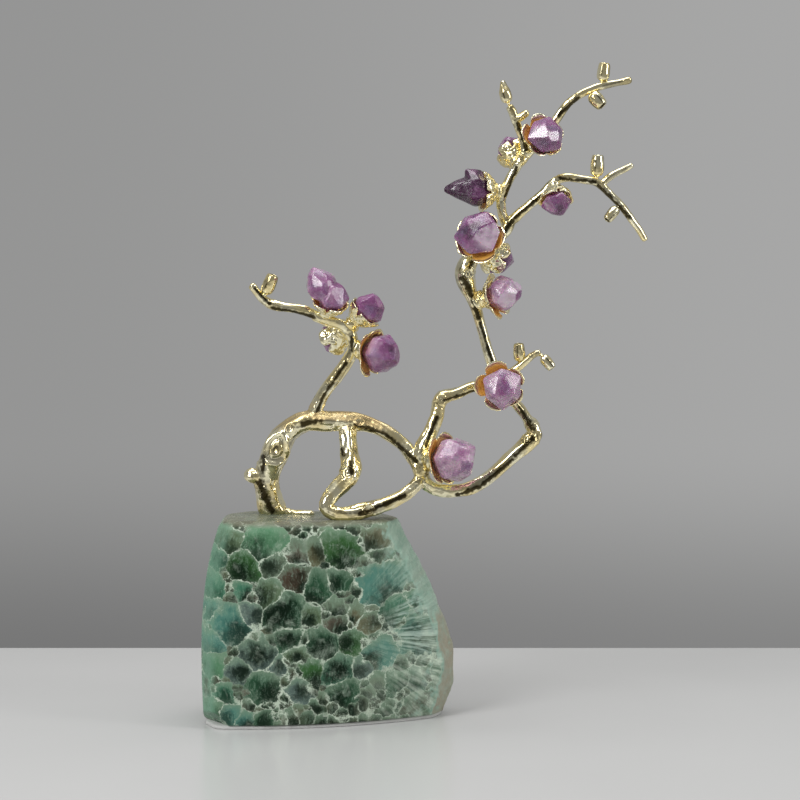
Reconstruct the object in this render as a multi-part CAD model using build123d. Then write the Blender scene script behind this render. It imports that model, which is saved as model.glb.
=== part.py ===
from build123d import *
import os
from dataclasses import dataclass
from math import cos, pi, radians, sin, sqrt

# Gemstone tree ornament: a gilt cast plum branch with amethyst blossoms, standing on a polished fluorite
# block.
# Millimetres, +Z up, the branch spreads along X and the front is -Y.
# The origin is on the pad's underside, below the middle of the block.

# Fluorite block and its pad
PAD_THICKNESS = 2.0
PAD_INSET = 1.2
STONE_HEIGHT = 107.0
STONE_CORNER_CUT = 14.0
STONE_CORNER_RADIUS = 8.0
STONE_EDGE_RADIUS = 7.0
STONE_FRONT_BULGE = 10.0

# The block's hand-ground shape, level by level: height, how far it reaches left, right, front and back,
# and how much further back the front's right end is than its left end.
STONE_LEVELS = [
    (0.0, 66.5, 62.7, 29.0, 32.0, 29.0),
    (38.0, 67.5, 67.5, 29.5, 33.0, 27.0),
    (78.0, 64.5, 52.0, 27.5, 31.5, 20.0),
    (STONE_HEIGHT, 57.0, 38.0, 25.0, 29.0, 11.0),
]

# Studs that hold the branch on the block
TRUNK_STUD_DIAMETER = 4.0
ROOT_STUD_DIAMETER = 2.6
STUD_IN_STONE = 18.0
TRUNK_STUD_IN_METAL = 8.0
ROOT_STUD_IN_METAL = 3.4
STUD_CLEARANCE = 0.15

# Cast limbs
BARK_RIDGES = 5
BARK_GROOVE = 0.1
BARK_TWIST = 5.0
SECTION_SPACING = 5.0
LIMB_PEG_DIAMETER = 2.4
TWIG_PEG_DIAMETER = 1.2
PEG_BURY = 1.8
PEG_REACH = 2.0
PEG_CLEARANCE = 0.08

# Blossom cups, their glue beds and their crystals
PETALS = 5
PETAL_WALL = 1.0
PETAL_REACH = 0.3
PETAL_SPREAD = 0.53
CUP_DEPTH = 8.0
CUP_NECK_DIAMETER = 3.6
CUP_NECK_BITE = 0.9
CUP_PEG_DIAMETER = 1.4
CUP_PEG_BURY = 1.5
GLUE_LEVEL = 2.8
CRYSTAL_FIT = 0.25
CRYSTAL_SIDES = (1.0, 0.9, 0.97, 0.86, 1.0, 0.92)
TWIN_ROOT_SHARE = 0.8

# Buds
BUD_STALK_DIAMETER = 1.9
BUD_STALK_LENGTH = 0.8
BUD_TIP_RADIUS = 2.2
BUD_WAIST_SHARE = 0.5

# Limb routes: across, depth (the front is minus), height above the block's top, radius.
ROUTES = {
    "trunk_arch": [
        (-30, 14, -6, 7.4), (-31, 14, 2, 7.0), (-33.5, 13, 11, 6.0), (-34.5, 12, 20, 5.8),
        (-32, 11, 29.5, 5.8), (-28, 10, 38, 6.0), (-21, 9, 45.5, 5.5), (-12.5, 8, 50, 5.1),
        (-3, 7, 50.5, 5.0), (10, 6, 50, 4.7), (21, 4, 48.5, 3.7), (31, 2, 44, 3.4),
        (40, 0, 37.5, 3.2), (45.5, -2, 30.5, 3.6), (50, -3, 23.5, 4.6),
    ],
    "prop_root": [
        (10, 6, 49, 4.4), (10, 3, 40.5, 4.5), (11, -1, 32, 4.4), (11.5, -4, 24.5, 4.7),
        (6.5, -8, 17, 4.4), (0.5, -12, 11, 3.7), (-1, -14, 6, 3.3), (4.5, -14, 3, 3.3),
        (15, -13, 3.5, 3.7), (27, -11, 6.8, 3.4), (38, -8, 11, 3.2), (46, -5, 17, 3.2),
        (50, -3, 22.5, 3.2),
    ],
    "ring_left_limb": [
        (50, -3, 25, 4.0), (49.3, -3, 30, 4.0), (49.3, -3, 35.5, 3.9), (52, -2, 41.5, 3.5),
        (55, -1, 48, 3.1), (57.5, 0, 55.5, 3.0), (59.5, 1, 62.5, 3.5), (67, 2, 65, 2.5),
        (74, 3, 68, 2.3), (82, 4, 69.8, 2.7), (90, 4, 71, 3.3), (93.5, 4, 71.5, 2.7),
    ],
    "ring_right_limb": [
        (49, -3, 25, 3.4), (53.5, -3, 16.3, 3.3), (64, -3, 13.8, 3.2), (77, -2, 16.5, 3.2),
        (89, -1, 24.5, 3.2), (98.5, 0, 32.7, 3.5), (106, 1, 39.5, 4.2), (109, 2, 44.5, 3.8),
        (106, 3, 51, 2.7), (101, 4, 58, 2.3), (95, 4, 65, 2.3), (90, 4, 70.5, 2.3),
    ],
    "upper_limb": [
        (89.5, 4, 71, 2.6), (88, 4, 77, 2.5), (85.5, 4, 84, 2.4), (82.7, 4, 93, 2.2),
        (80, 4, 103, 2.2), (76.8, 4, 113.5, 2.5), (73.5, 4, 121.8, 3.3), (72, 4, 128, 4.0),
        (74, 4, 135, 4.1), (79.5, 4, 141.5, 3.6), (83, 4, 144.2, 3.3), (86.5, 4, 146.5, 2.9),
        (92, 4, 150.5, 2.7), (95, 4, 156, 3.0),
    ],
    "fork_limb": [
        (94.3, 4, 154.5, 2.3), (91.8, 4, 160.5, 2.1), (91, 4, 167.5, 2.1), (92.3, 3.5, 172.2, 2.0),
        (93.3, 3, 174.5, 1.8), (96.5, 3, 180.8, 1.8), (99.8, 2, 186, 2.0), (105, 2, 193, 2.3),
    ],
    "crown_left_twig": [
        (104, 2, 192, 1.7), (102.8, 2, 197.5, 1.6), (100.8, 2, 203.3, 1.5), (98.5, 1, 209, 1.6),
        (97, 1, 213, 1.7), (95, 1, 216.5, 1.4),
    ],
    "crown_right_twig": [
        (103.6, 2, 191.4, 1.9), (109.5, 2.8, 197.3, 1.9), (117, 2, 206.5, 1.8), (121, 1, 212, 1.9),
        (125.5, 1, 217.8, 1.7), (130, 0, 221.5, 1.6), (136.5, 0, 225, 1.5), (143.5, 0, 227.3, 1.6),
        (149, 0, 228.5, 1.3), (158.5, 0, 230.5, 1.2),
    ],
    "right_twig": [
        (93.8, 4, 154.6, 2.3), (100, 3, 160, 2.2), (104.5, 2, 164, 1.9), (112.5, 1, 171, 1.8),
        (118.5, 0, 177, 1.8), (124.5, 0, 179.5, 1.7), (133, 0, 178.5, 1.6), (141, 0, 177, 1.9),
        (147, 0, 172, 1.6), (153.5, 0, 165.5, 1.5), (159, 0, 158.5, 1.4), (163.5, 0, 152, 1.3),
        (167, 0, 146.5, 1.1),
    ],
    "right_spur": [
        (143.8, 0, 175, 1.4), (147, 0, 179, 1.4), (152.5, 0, 182.3, 1.3), (159.7, 0, 186, 1.0),
    ],
    "left_limb": [
        (-9, 8, 51, 3.8), (-7.5, 8, 55.5, 3.5), (-4, 7, 63, 3.1), (3, 5, 72.5, 3.0),
        (9.5, 4, 82, 2.8), (12.7, 3, 89, 2.7), (12.2, 2, 95, 2.6), (9.3, 2, 99.8, 2.6),
        (3.5, 1.5, 103, 2.6), (-2.5, 1, 105, 2.6), (-7.5, 1, 106.8, 2.5),
    ],
    "left_twig": [
        (-5.5, 1, 106.2, 2.3), (-12, 0, 109, 2.3), (-19.5, 0, 110.5, 2.1), (-29, 0, 112.3, 2.2),
        (-34.8, 0, 115.5, 2.0), (-38, 0, 119.2, 1.8), (-41, 0, 122.8, 1.5),
    ],
    "ring_bud_twig": [
        (90, 4, 71.5, 1.9), (96, 1.5, 76, 1.7), (101, 0, 80, 1.7), (104.5, 0, 82.8, 1.4),
        (108, 0, 85.8, 1.3), (111.5, 0, 87, 1.2),
    ],
}

# Short stubs cast on a limb, with round ends: from, to (both as above) and radius.
STUBS = {
    "trunk_arch": [
        ((-34.5, 12, 20), (-41.8, 11, 20.5), 3.6),
        ((-31, 13, 0.4), (-10, 8, 0.4), 1.5),
    ],
    "crown_left_twig": [((98.5, 1, 209), (103.6, 0, 212.9), 1.4)],
}

# What each limb is fitted against, in the order in which the branch is put together.
FITTED_TO = {
    "trunk_arch": [],
    "ring_left_limb": ["trunk_arch"],
    "ring_right_limb": ["trunk_arch", "ring_left_limb"],
    "prop_root": ["trunk_arch", "ring_left_limb", "ring_right_limb"],
    "upper_limb": ["ring_left_limb", "ring_right_limb"],
    "ring_bud_twig": ["ring_left_limb", "ring_right_limb", "upper_limb"],
    "fork_limb": ["upper_limb"],
    "right_twig": ["upper_limb", "fork_limb"],
    "right_spur": ["right_twig"],
    "crown_right_twig": ["fork_limb"],
    "crown_left_twig": ["fork_limb", "crown_right_twig"],
    "left_limb": ["trunk_arch"],
    "left_twig": ["left_limb"],
}

# Limbs whose first end has a peg, with the limb that it enters and the peg's diameter.
PEGGED_INTO = {
    "prop_root": ("trunk_arch", LIMB_PEG_DIAMETER),
    "left_limb": ("trunk_arch", LIMB_PEG_DIAMETER),
    "ring_left_limb": ("trunk_arch", LIMB_PEG_DIAMETER),
    "ring_right_limb": ("trunk_arch", LIMB_PEG_DIAMETER),
    "upper_limb": ("ring_left_limb", LIMB_PEG_DIAMETER),
    "fork_limb": ("upper_limb", TWIG_PEG_DIAMETER),
    "crown_right_twig": ("fork_limb", TWIG_PEG_DIAMETER),
    "left_twig": ("left_limb", TWIG_PEG_DIAMETER),
}


@dataclass
class Blossom:
    """A cup on a limb's route point, the way it faces, and its crystal.

    The crystal has a width, the height of its girdle over the petals, the height of its crown over the
    girdle and the radius of its tip. The stem is the neck between the limb and the cup, and the turn is
    about its axis. A table is a broken flat: its tilt, its bearing and its distance from the girdle's
    middle. A twin is a second crystal grown on the first, above the petals: its tilt, bearing, width and
    length.
    The neck is also fitted against the limbs beside it.
    """

    limb: str
    point: int
    facing: tuple
    width: float
    crown: float
    girdle: float = 3.0
    tip: float = 4.0
    stem: float = 1.6
    turn: float = 0.0
    table: tuple = None
    twin: tuple = None
    beside: tuple = ()


BLOSSOMS = {
    "left_top": Blossom("left_limb", 9, (0.3, -0.5, 0.81), 18, 6, turn=20, twin=(55, 145, 17, 19)),
    "left_side": Blossom("left_limb", 7, (0.72, -0.2, 0.66), 17.5, 7, stem=3, turn=5, table=(25, 60, 6)),
    "left_low": Blossom("left_limb", 5, (0.83, -0.54, -0.11), 22, 9, 4, stem=4, turn=35,
                        table=(30, 200, 8)),
    "left_back": Blossom("left_limb", 7, (-0.4, 0.85, -0.33), 18, 7, stem=2.6, turn=10),
    "upper_left": Blossom("fork_limb", 3, (-0.97, -0.22, 0.03), 18.5, 17, 4, tip=0.6, turn=12,
                          twin=(50, -12, 13, 14)),
    "upper_front": Blossom("upper_limb", 10, (-0.3, -0.88, 0.36), 25, 6, tip=6, stem=2.2, turn=28,
                           table=(28, 330, 5)),
    "upper_right": Blossom("upper_limb", 5, (0.83, -0.47, 0.28), 19, 9, 3.5, stem=4.5, turn=40,
                           table=(32, 300, 7)),
    "upper_back": Blossom("upper_limb", 9, (0.65, 0.68, -0.28), 18, 7, turn=15),
    "crown_front": Blossom("crown_right_twig", 1, (0.3, -0.9, 0.3), 20, 7, turn=0, table=(30, 120, 5)),
    "crown_back": Blossom("fork_limb", 6, (-0.2, 0.8, 0.57), 16, 6, turn=25),
    "twig_hanging": Blossom("right_twig", 4, (0.1, -0.54, -0.84), 16, 5.5, 2, tip=3, turn=8),
    "ring_top": Blossom("ring_left_limb", 10, (0.08, -0.98, -0.12), 22, 6, tip=6, turn=33,
                        table=(20, 80, 5), beside=("ring_right_limb", "upper_limb", "ring_bud_twig")),
    "ring_low": Blossom("ring_left_limb", 1, (0.82, -0.56, 0.1), 25, 14, 4, tip=6, stem=3.4, turn=18,
                        table=(35, 45, 10), beside=("trunk_arch", "ring_right_limb")),
}


@dataclass
class Bud:
    """A closed bud on a limb's route point, the way it points, its width and length."""

    limb: str
    point: int
    facing: tuple
    width: float
    length: float


BUDS = {
    "bud_crown_top": Bud("crown_right_twig", 7, (0.12, 0, 0.99), 7.0, 10.0),
    "bud_crown_under": Bud("crown_right_twig", 6, (0.62, -0.3, -0.72), 8.0, 9.5),
    "bud_crown_left": Bud("crown_left_twig", 5, (-0.3, 0, 0.95), 6.5, 9.0),
    "bud_twig_top": Bud("right_twig", 7, (0.05, 0, 1), 7.5, 12.0),
    "bud_twig_under": Bud("right_twig", 9, (-0.62, -0.3, -0.72), 6.0, 9.5),
    "bud_ring_up": Bud("ring_bud_twig", 2, (-0.05, -0.1, 0.99), 6.5, 10.0),
    "bud_ring_side": Bud("ring_bud_twig", 5, (0.62, -0.2, -0.75), 6.0, 9.0),
    "bud_left_tip": Bud("left_twig", 4, (0.4, -0.1, 0.91), 7.5, 11.5),
}

STONE_TOP = PAD_THICKNESS + STONE_HEIGHT
TRUNK_STUD_AT = ROUTES["trunk_arch"][1][:2]
ROOT_STUD_AT = ROUTES["prop_root"][7][:2]

# How far cutting shapes run past what they cut
OVERCUT = 1.0
FAR = 400.0


# Helpers

def axis_plane(origin, direction, turn=0.0):
    """A plane at origin whose normal is direction, with a steady X axis, turned about the normal."""
    normal = Vector(direction).normalized()
    faces_depth = abs(normal.Y) > 0.98
    sideways = Vector(1, 0, 0) if faces_depth else Vector(0, 1, 0).cross(normal)
    square = sideways - normal * sideways.dot(normal)
    return Plane(origin=origin, x_dir=square.rotate(Axis((0, 0, 0), normal), turn), z_dir=normal)


def rod(start, end, diameter):
    """A round rod between two points."""
    start, end = Vector(start), Vector(end)
    along = end - start
    return Solid.make_cylinder(diameter / 2, along.length, axis_plane(start, along))


def beyond(plane):
    """Everything on the side of a plane that its normal points to."""
    return plane * Box(FAR, FAR, FAR, align=(Align.CENTER, Align.CENTER, Align.MIN))


def on_block(x, y, height):
    """A point given by its height above the block's top."""
    return Vector(x, y, STONE_TOP + height)


def route_points(name):
    """A limb's route in the part's frame."""
    return [on_block(*row[:3]) for row in ROUTES[name]]


def lobed_prism(radius, height):
    """A prism of round petals about Z."""
    centre = radius * PETAL_SPREAD
    petals = [
        Pos(centre * cos(a), centre * sin(a), 0) * Circle(radius - centre)
        for a in (2 * pi / PETALS * k for k in range(PETALS))
    ]
    return extrude(Sketch() + petals + Circle(centre), height)


# Fluorite block, its pad and the studs

def stone_section(level, inset=0.0):
    """One level of the block: a bulging polished front, a straight back, cut and rounded corners."""
    height, left, right, front, back, skew = level
    front_left = (STONE_CORNER_CUT / 2 - left, -front)
    front_right = (right - STONE_CORNER_CUT / 2, skew - front)
    middle_across = (front_left[0] + front_right[0]) / 2
    middle = (middle_across, (front_left[1] + front_right[1]) / 2 - STONE_FRONT_BULGE)
    corners = [
        front_right,
        (right, front_right[1] + STONE_CORNER_CUT),
        (right - STONE_CORNER_CUT, back),
        (STONE_CORNER_CUT - left, back),
        (-left, back - STONE_CORNER_CUT),
        (-left, STONE_CORNER_CUT - front),
        front_left,
    ]
    plan = make_face(Curve() + [ThreePointArc(front_left, middle, front_right), Polyline(*corners)])
    plan = fillet(plan.vertices(), STONE_CORNER_RADIUS)
    if inset:
        plan = offset(plan, -inset)
    return Pos(0, 0, PAD_THICKNESS + height) * plan


def make_stone():
    """The block: its levels blended into one another, with a rounded top edge and the stud holes."""
    block = loft([stone_section(level) for level in STONE_LEVELS])
    block = fillet(block.faces().sort_by(Axis.Z)[-1].edges(), STONE_EDGE_RADIUS)
    for at, diameter in ((TRUNK_STUD_AT, TRUNK_STUD_DIAMETER), (ROOT_STUD_AT, ROOT_STUD_DIAMETER)):
        bottom = (*at, STONE_TOP - STUD_IN_STONE - STUD_CLEARANCE)
        block -= rod(bottom, (*at, STONE_TOP + OVERCUT), diameter + 2 * STUD_CLEARANCE)
    return block


def make_pad():
    """The felt pad under the block, inset from its edge."""
    return extrude(stone_section(STONE_LEVELS[0], PAD_INSET), PAD_THICKNESS, dir=(0, 0, -1))


def make_stud(at, diameter, in_metal):
    """A plain brass stud, glued into the block and the metal above it."""
    return rod((*at, STONE_TOP - STUD_IN_STONE), (*at, STONE_TOP + in_metal), diameter)


# Branch

def bark_section(plane, radius, turn):
    """A limb's cross-section: round ridges with grooves between them."""
    def at(step, reach):
        angle = radians(turn + 360 / BARK_RIDGES * step)
        return plane.from_local_coords((reach * cos(angle), reach * sin(angle), 0))

    groove = radius * (1 - BARK_GROOVE)
    return Face(Wire([
        ThreePointArc(at(k, groove), at(k + 0.5, radius), at(k + 1, groove)) for k in range(BARK_RIDGES)
    ]))


def radius_along(name, share):
    """A limb's radius at a share of its length, between the radii of its route's points."""
    points = route_points(name)
    runs = [(end - start).length for start, end in zip(points, points[1:])]
    left = share * sum(runs)
    for run, (low, high) in zip(runs, zip(ROUTES[name], ROUTES[name][1:])):
        if left <= run:
            return low[3] + (high[3] - low[3]) * left / run
        left -= run
    return ROUTES[name][-1][3]


def make_limb(name):
    """A limb lofted through even sections of its route, which twist a little on the way, with its stubs."""
    line = Spline(*route_points(name))
    steps = round(line.length / SECTION_SPACING)
    sections = []
    for i in range(steps + 1):
        share = i / steps
        plane = axis_plane(line @ share, line % share)
        sections.append(bark_section(plane, radius_along(name, share), BARK_TWIST * i))
    limb = loft(sections)
    for start, end, radius in STUBS.get(name, []):
        limb += rod(on_block(*start), on_block(*end), 2 * radius)
        limb += Pos(on_block(*end)) * Sphere(radius)
    return limb


def way_out(parent, point, direction):
    """How far along a direction a point in or on a limb is from the limb's surface."""
    crossings = parent.find_intersection_points(Axis(point, direction))
    distances = [(where - point).dot(direction) for where, _ in crossings]
    return min(d for d in distances if d > -PEG_CLEARANCE)


def peg_ends(parent, point, direction, bury, reach):
    """Where a peg starts below its parent's surface, and where it ends above it."""
    direction = Vector(direction).normalized()
    surface = way_out(parent, point, direction)
    return point + direction * (surface - bury), point + direction * (surface + reach)


def drill(limb, ends, diameter):
    """A limb with the socket that a peg enters."""
    start, end = ends
    deeper = (end - start).normalized() * PEG_CLEARANCE
    return limb - rod(start - deeper, end, diameter + 2 * PEG_CLEARANCE)


def make_branch():
    """Every limb, fitted to the ones it is brazed to, with its peg."""
    raw = {name: make_limb(name) for name in ROUTES}
    below_top = beyond(Plane(origin=(0, 0, STONE_TOP), z_dir=(0, 0, -1)))
    limbs = {}
    for name, parents in FITTED_TO.items():
        limbs[name] = raw[name]
        for parent in parents:
            limbs[name] -= raw[parent]
        limbs[name] = limbs[name].solids().sort_by(SortBy.VOLUME)[-1]
    for name in ("trunk_arch", "prop_root"):
        limbs[name] -= below_top
    for name, (parent, diameter) in PEGGED_INTO.items():
        first, second = route_points(name)[:2]
        ends = peg_ends(raw[parent], first, second - first, PEG_BURY, PEG_REACH)
        limbs[parent] = drill(limbs[parent], ends, diameter)
        limbs[name] += rod(*ends, diameter)
    for name, at, diameter, in_metal in (
        ("trunk_arch", TRUNK_STUD_AT, TRUNK_STUD_DIAMETER, TRUNK_STUD_IN_METAL),
        ("prop_root", ROOT_STUD_AT, ROOT_STUD_DIAMETER, ROOT_STUD_IN_METAL),
    ):
        top = (*at, STONE_TOP + in_metal + STUD_CLEARANCE)
        limbs[name] -= rod((*at, STONE_TOP - OVERCUT), top, diameter + 2 * STUD_CLEARANCE)
    return raw, limbs


# Blossoms

def cup_radius(blossom):
    """The rim's radius: the petals reach a little past the crystal's girdle."""
    return blossom.width / 2 + PETAL_REACH


def cup_sphere(blossom):
    """The radius of the round bowl that the petals are cut from."""
    rim = cup_radius(blossom)
    return (rim ** 2 + CUP_DEPTH ** 2) / (2 * CUP_DEPTH)


def bowl_radius(sphere, height, wall=0.0):
    """The bowl's radius at a height above its outer bottom, outside or inside its wall."""
    return sqrt((sphere - wall) ** 2 - (sphere - height) ** 2)


def bowl_height(sphere, radius, wall=0.0):
    """The height at which the bowl has a radius, outside or inside its wall."""
    return sphere - sqrt((sphere - wall) ** 2 - radius ** 2)


def room_at(blossom, height):
    """The bowl's inner radius at a height above its outer bottom."""
    return bowl_radius(cup_sphere(blossom), height, PETAL_WALL)


def bowl_arc(sphere, low_radius, wall=0.0):
    """A bowl's wall line in its XZ plane, from a radius near the axis up to the rim."""
    low = (low_radius, bowl_height(sphere, low_radius, wall))
    high = (bowl_radius(sphere, CUP_DEPTH, wall), CUP_DEPTH)
    middle_radius = (low[0] + high[0]) / 2
    return ThreePointArc(low, (middle_radius, bowl_height(sphere, middle_radius, wall)), high)


def seat(blossom):
    """The bowl's bottom plane: the limb's radius and the neck away from the route point."""
    radius = ROUTES[blossom.limb][blossom.point][3]
    direction = Vector(blossom.facing).normalized()
    point = route_points(blossom.limb)[blossom.point]
    return axis_plane(point + direction * (radius + blossom.stem), direction, blossom.turn)


def make_cup(blossom, raw):
    """A five-petalled cup, its neck fitted on the limb and its peg."""
    sphere = cup_sphere(blossom)
    neck = CUP_NECK_DIAMETER / 2
    foot = -blossom.stem - CUP_NECK_BITE
    outer, inner = bowl_arc(sphere, neck), bowl_arc(sphere, neck, PETAL_WALL)
    half = make_face([
        Polyline((0, (inner @ 0).Y), (0, foot), (neck, foot), outer @ 0),
        outer,
        Line(outer @ 1, inner @ 1),
        inner,
        Line(inner @ 0, (0, (inner @ 0).Y)),
    ])
    bowl = revolve(Plane.XZ * half, Axis.Z)
    notches = Solid.make_cylinder(cup_radius(blossom) + OVERCUT, CUP_DEPTH + OVERCUT)
    notches -= lobed_prism(cup_radius(blossom), CUP_DEPTH + OVERCUT)
    cup = seat(blossom) * (bowl - notches)
    for limb in (blossom.limb, *blossom.beside):
        cup -= raw[limb]
    return cup + rod(*cup_peg(blossom, raw), CUP_PEG_DIAMETER)


def cup_peg(blossom, raw):
    """The ends of the peg between a cup's neck and its limb."""
    point = route_points(blossom.limb)[blossom.point]
    return peg_ends(raw[blossom.limb], point, blossom.facing, CUP_PEG_BURY, blossom.stem)


def make_glue(blossom):
    """The glue that fills the bottom of a cup up to the crystal."""
    sphere = cup_sphere(blossom)
    floor = CUP_NECK_DIAMETER / 2
    low, high = bowl_height(sphere, floor, PETAL_WALL), room_at(blossom, GLUE_LEVEL)
    middle = (floor + high) / 2
    half = make_face([
        Line((0, low), (floor, low)),
        ThreePointArc((floor, low), (middle, bowl_height(sphere, middle, PETAL_WALL)), (high, GLUE_LEVEL)),
        Polyline((high, GLUE_LEVEL), (0, GLUE_LEVEL), (0, low)),
    ])
    return seat(blossom) * revolve(Plane.XZ * half, Axis.Z)


def hexagon(radius, height):
    """One level of a crystal: an uneven hexagon."""
    corners = [
        (radius * side * cos(pi / 3 * k), radius * side * sin(pi / 3 * k))
        for k, side in enumerate(CRYSTAL_SIDES)
    ]
    return Pos(0, 0, height) * make_face(Polyline(*corners, close=True))


def stacked(levels):
    """A crystal about Z with flat sides between its levels, each a radius and a height."""
    crystal = Part()
    for low, high in zip(levels, levels[1:]):
        crystal += loft([hexagon(*low), hexagon(*high)], ruled=True)
    return crystal


def make_crystal(blossom):
    """An amethyst: a root that fits the cup, a girdle above the petals and a six-sided crown."""
    girdle = CUP_DEPTH + blossom.girdle
    crystal = stacked([
        (room_at(blossom, GLUE_LEVEL) - CRYSTAL_FIT, GLUE_LEVEL),
        (room_at(blossom, CUP_DEPTH) - CRYSTAL_FIT, CUP_DEPTH),
        (blossom.width / 2, girdle),
        (blossom.tip, girdle + blossom.crown),
    ])
    if blossom.twin:
        tilt, bearing, width, length = blossom.twin
        shoulder = length - width / 2
        twin = stacked([
            (TWIN_ROOT_SHARE * width / 2, 0), (width / 2, shoulder), (blossom.tip / 2, length),
        ])
        twin = Pos(0, 0, CUP_DEPTH) * Rot(0, 0, bearing) * Rot(0, tilt, 0) * twin
        crystal += twin - beyond(Plane((0, 0, CUP_DEPTH + CRYSTAL_FIT), z_dir=(0, 0, -1)))
    if blossom.table:
        tilt, bearing, distance = blossom.table
        flat = Pos(0, 0, girdle) * Rot(0, 0, bearing) * Rot(0, tilt, 0) * Pos(0, 0, distance)
        crystal -= beyond(Plane(flat))
    return seat(blossom) * crystal


# Buds

def make_bud(bud, raw):
    """A closed five-petalled bud on a short stalk, brazed to its twig."""
    radius = ROUTES[bud.limb][bud.point][3]
    direction = Vector(bud.facing).normalized()
    point = route_points(bud.limb)[bud.point]
    plane = axis_plane(point + direction * (radius + BUD_STALK_LENGTH), direction)
    stalk = BUD_STALK_DIAMETER / 2
    waist = (bud.width / 2, bud.length * BUD_WAIST_SHARE)
    outline = [
        Line((0, 0), (stalk, 0)),
        ThreePointArc((stalk, 0), waist, (BUD_TIP_RADIUS, bud.length)),
        Line((BUD_TIP_RADIUS, bud.length), (0, bud.length)),
        Line((0, bud.length), (0, 0)),
    ]
    body = revolve(Plane.XZ * make_face(outline), Axis.Z) & lobed_prism(bud.width / 2, bud.length)
    stem = rod(point, plane.origin + direction * stalk, BUD_STALK_DIAMETER) - raw[bud.limb]
    return plane * body + stem


# Assembly

def main():
    raw, limbs = make_branch()
    nodes = {
        "stone_base": make_stone(),
        "base_pad": make_pad(),
        "trunk_stud": make_stud(TRUNK_STUD_AT, TRUNK_STUD_DIAMETER, TRUNK_STUD_IN_METAL),
        "root_stud": make_stud(ROOT_STUD_AT, ROOT_STUD_DIAMETER, ROOT_STUD_IN_METAL),
    }
    glue = []
    for name, blossom in BLOSSOMS.items():
        nodes["cup_" + name] = make_cup(blossom, raw)
        nodes["amethyst_" + name] = make_crystal(blossom)
        limbs[blossom.limb] = drill(limbs[blossom.limb], cup_peg(blossom, raw), CUP_PEG_DIAMETER)
        glue.append(make_glue(blossom))
    for name, bud in BUDS.items():
        nodes[name] = make_bud(bud, raw)
    nodes.update(limbs)
    nodes["glue_beds"] = Compound(children=[bed.solid() for bed in glue])

    os.makedirs("parts", exist_ok=True)
    for name, shape in nodes.items():
        export_step(shape, f"parts/{name}.step")
        print(f"{name}: {len(shape.solids())} solid, {shape.volume:.0f} mm3, valid {shape.is_valid}")


main()
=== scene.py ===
import math
import random
from collections import namedtuple
from itertools import product

import bmesh
import bpy
import numpy as np
from bpy.props import FloatProperty, FloatVectorProperty, IntProperty, PointerProperty
from bpy.types import Operator, Panel, PropertyGroup
from mathutils import Matrix, Vector, kdtree


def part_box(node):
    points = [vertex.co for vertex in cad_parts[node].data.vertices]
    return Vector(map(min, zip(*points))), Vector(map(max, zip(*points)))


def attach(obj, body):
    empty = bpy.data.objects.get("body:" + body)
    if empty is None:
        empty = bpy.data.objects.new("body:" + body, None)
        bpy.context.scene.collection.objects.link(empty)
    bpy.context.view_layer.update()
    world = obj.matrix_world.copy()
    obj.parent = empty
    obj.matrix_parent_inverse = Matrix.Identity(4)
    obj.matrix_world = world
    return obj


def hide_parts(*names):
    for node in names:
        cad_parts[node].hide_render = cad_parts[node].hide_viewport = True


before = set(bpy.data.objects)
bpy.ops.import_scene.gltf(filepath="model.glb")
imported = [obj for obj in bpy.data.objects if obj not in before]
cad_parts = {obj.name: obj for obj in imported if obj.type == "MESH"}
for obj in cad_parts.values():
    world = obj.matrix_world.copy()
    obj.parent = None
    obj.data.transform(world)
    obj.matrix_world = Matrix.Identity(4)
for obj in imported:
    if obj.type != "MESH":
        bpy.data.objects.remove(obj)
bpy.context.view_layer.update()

bl_info = {
    "name": "Gemstone tree ornament",
    "version": (1, 0, 0),
    "blender": (4, 5, 0),
    "location": "3D View > Sidebar > Ornament",
    "description": "A gilt plum branch with amethyst blossoms on a fluorite block",
    "category": "Object",
}

BODY = "root"
MM = 0.001
BLOCK_TOP = 109.0

# The castings: the limbs that each is poured from, and how deep its skin is worked
ROOT_LIMBS = ("trunk_arch", "prop_root", "ring_left_limb", "ring_right_limb", "left_limb", "left_twig")
CROWN_LIMBS = (
    "upper_limb", "fork_limb", "crown_left_twig", "crown_right_twig", "right_twig", "right_spur",
    "ring_bud_twig",
)
CASTINGS = (("gilt_root_casting", ROOT_LIMBS, 1.0), ("gilt_crown_casting", CROWN_LIMBS, 0.7))

# Scars on the castings, in millimetres: centre (height above the block), width, height, slant and depth
Scar = namedtuple("Scar", "at width height slant depth")
SCARS = (
    Scar((-28.5, 4.5, 36), 4.6, 8.6, 23, 1.6),
    Scar((-36, 6, 12), 2.2, 3.2, 10, 0.7),
    Scar((-21, 4, 47), 2.0, 3.0, 40, 0.6),
    Scar((16, 0, 50), 2.4, 1.9, 0, 0.7),
    Scar((10.5, -6, 24), 2.0, 2.8, 20, 0.7),
    Scar((21, -15, 5), 2.6, 2.0, 0, 0.8),
    Scar((59.5, -2, 62.5), 2.0, 2.4, 0, 0.6),
    Scar((106, -3, 41), 2.2, 2.8, 30, 0.7),
    Scar((73, 0, 129), 2.2, 3.4, 10, 0.8),
)

# Wrinkled places on the castings, in millimetres: centre (height above the block) and reach
WRINKLES = (
    ((10.5, -3, 34), 5), ((20, -13, 5), 6), ((50, -3, 26), 7), ((59, 0, 62), 4),
    ((107, 1, 43), 6), ((73, 2, 127), 8), ((94, 3, 154), 4), ((104, 1, 192), 4),
)

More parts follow.
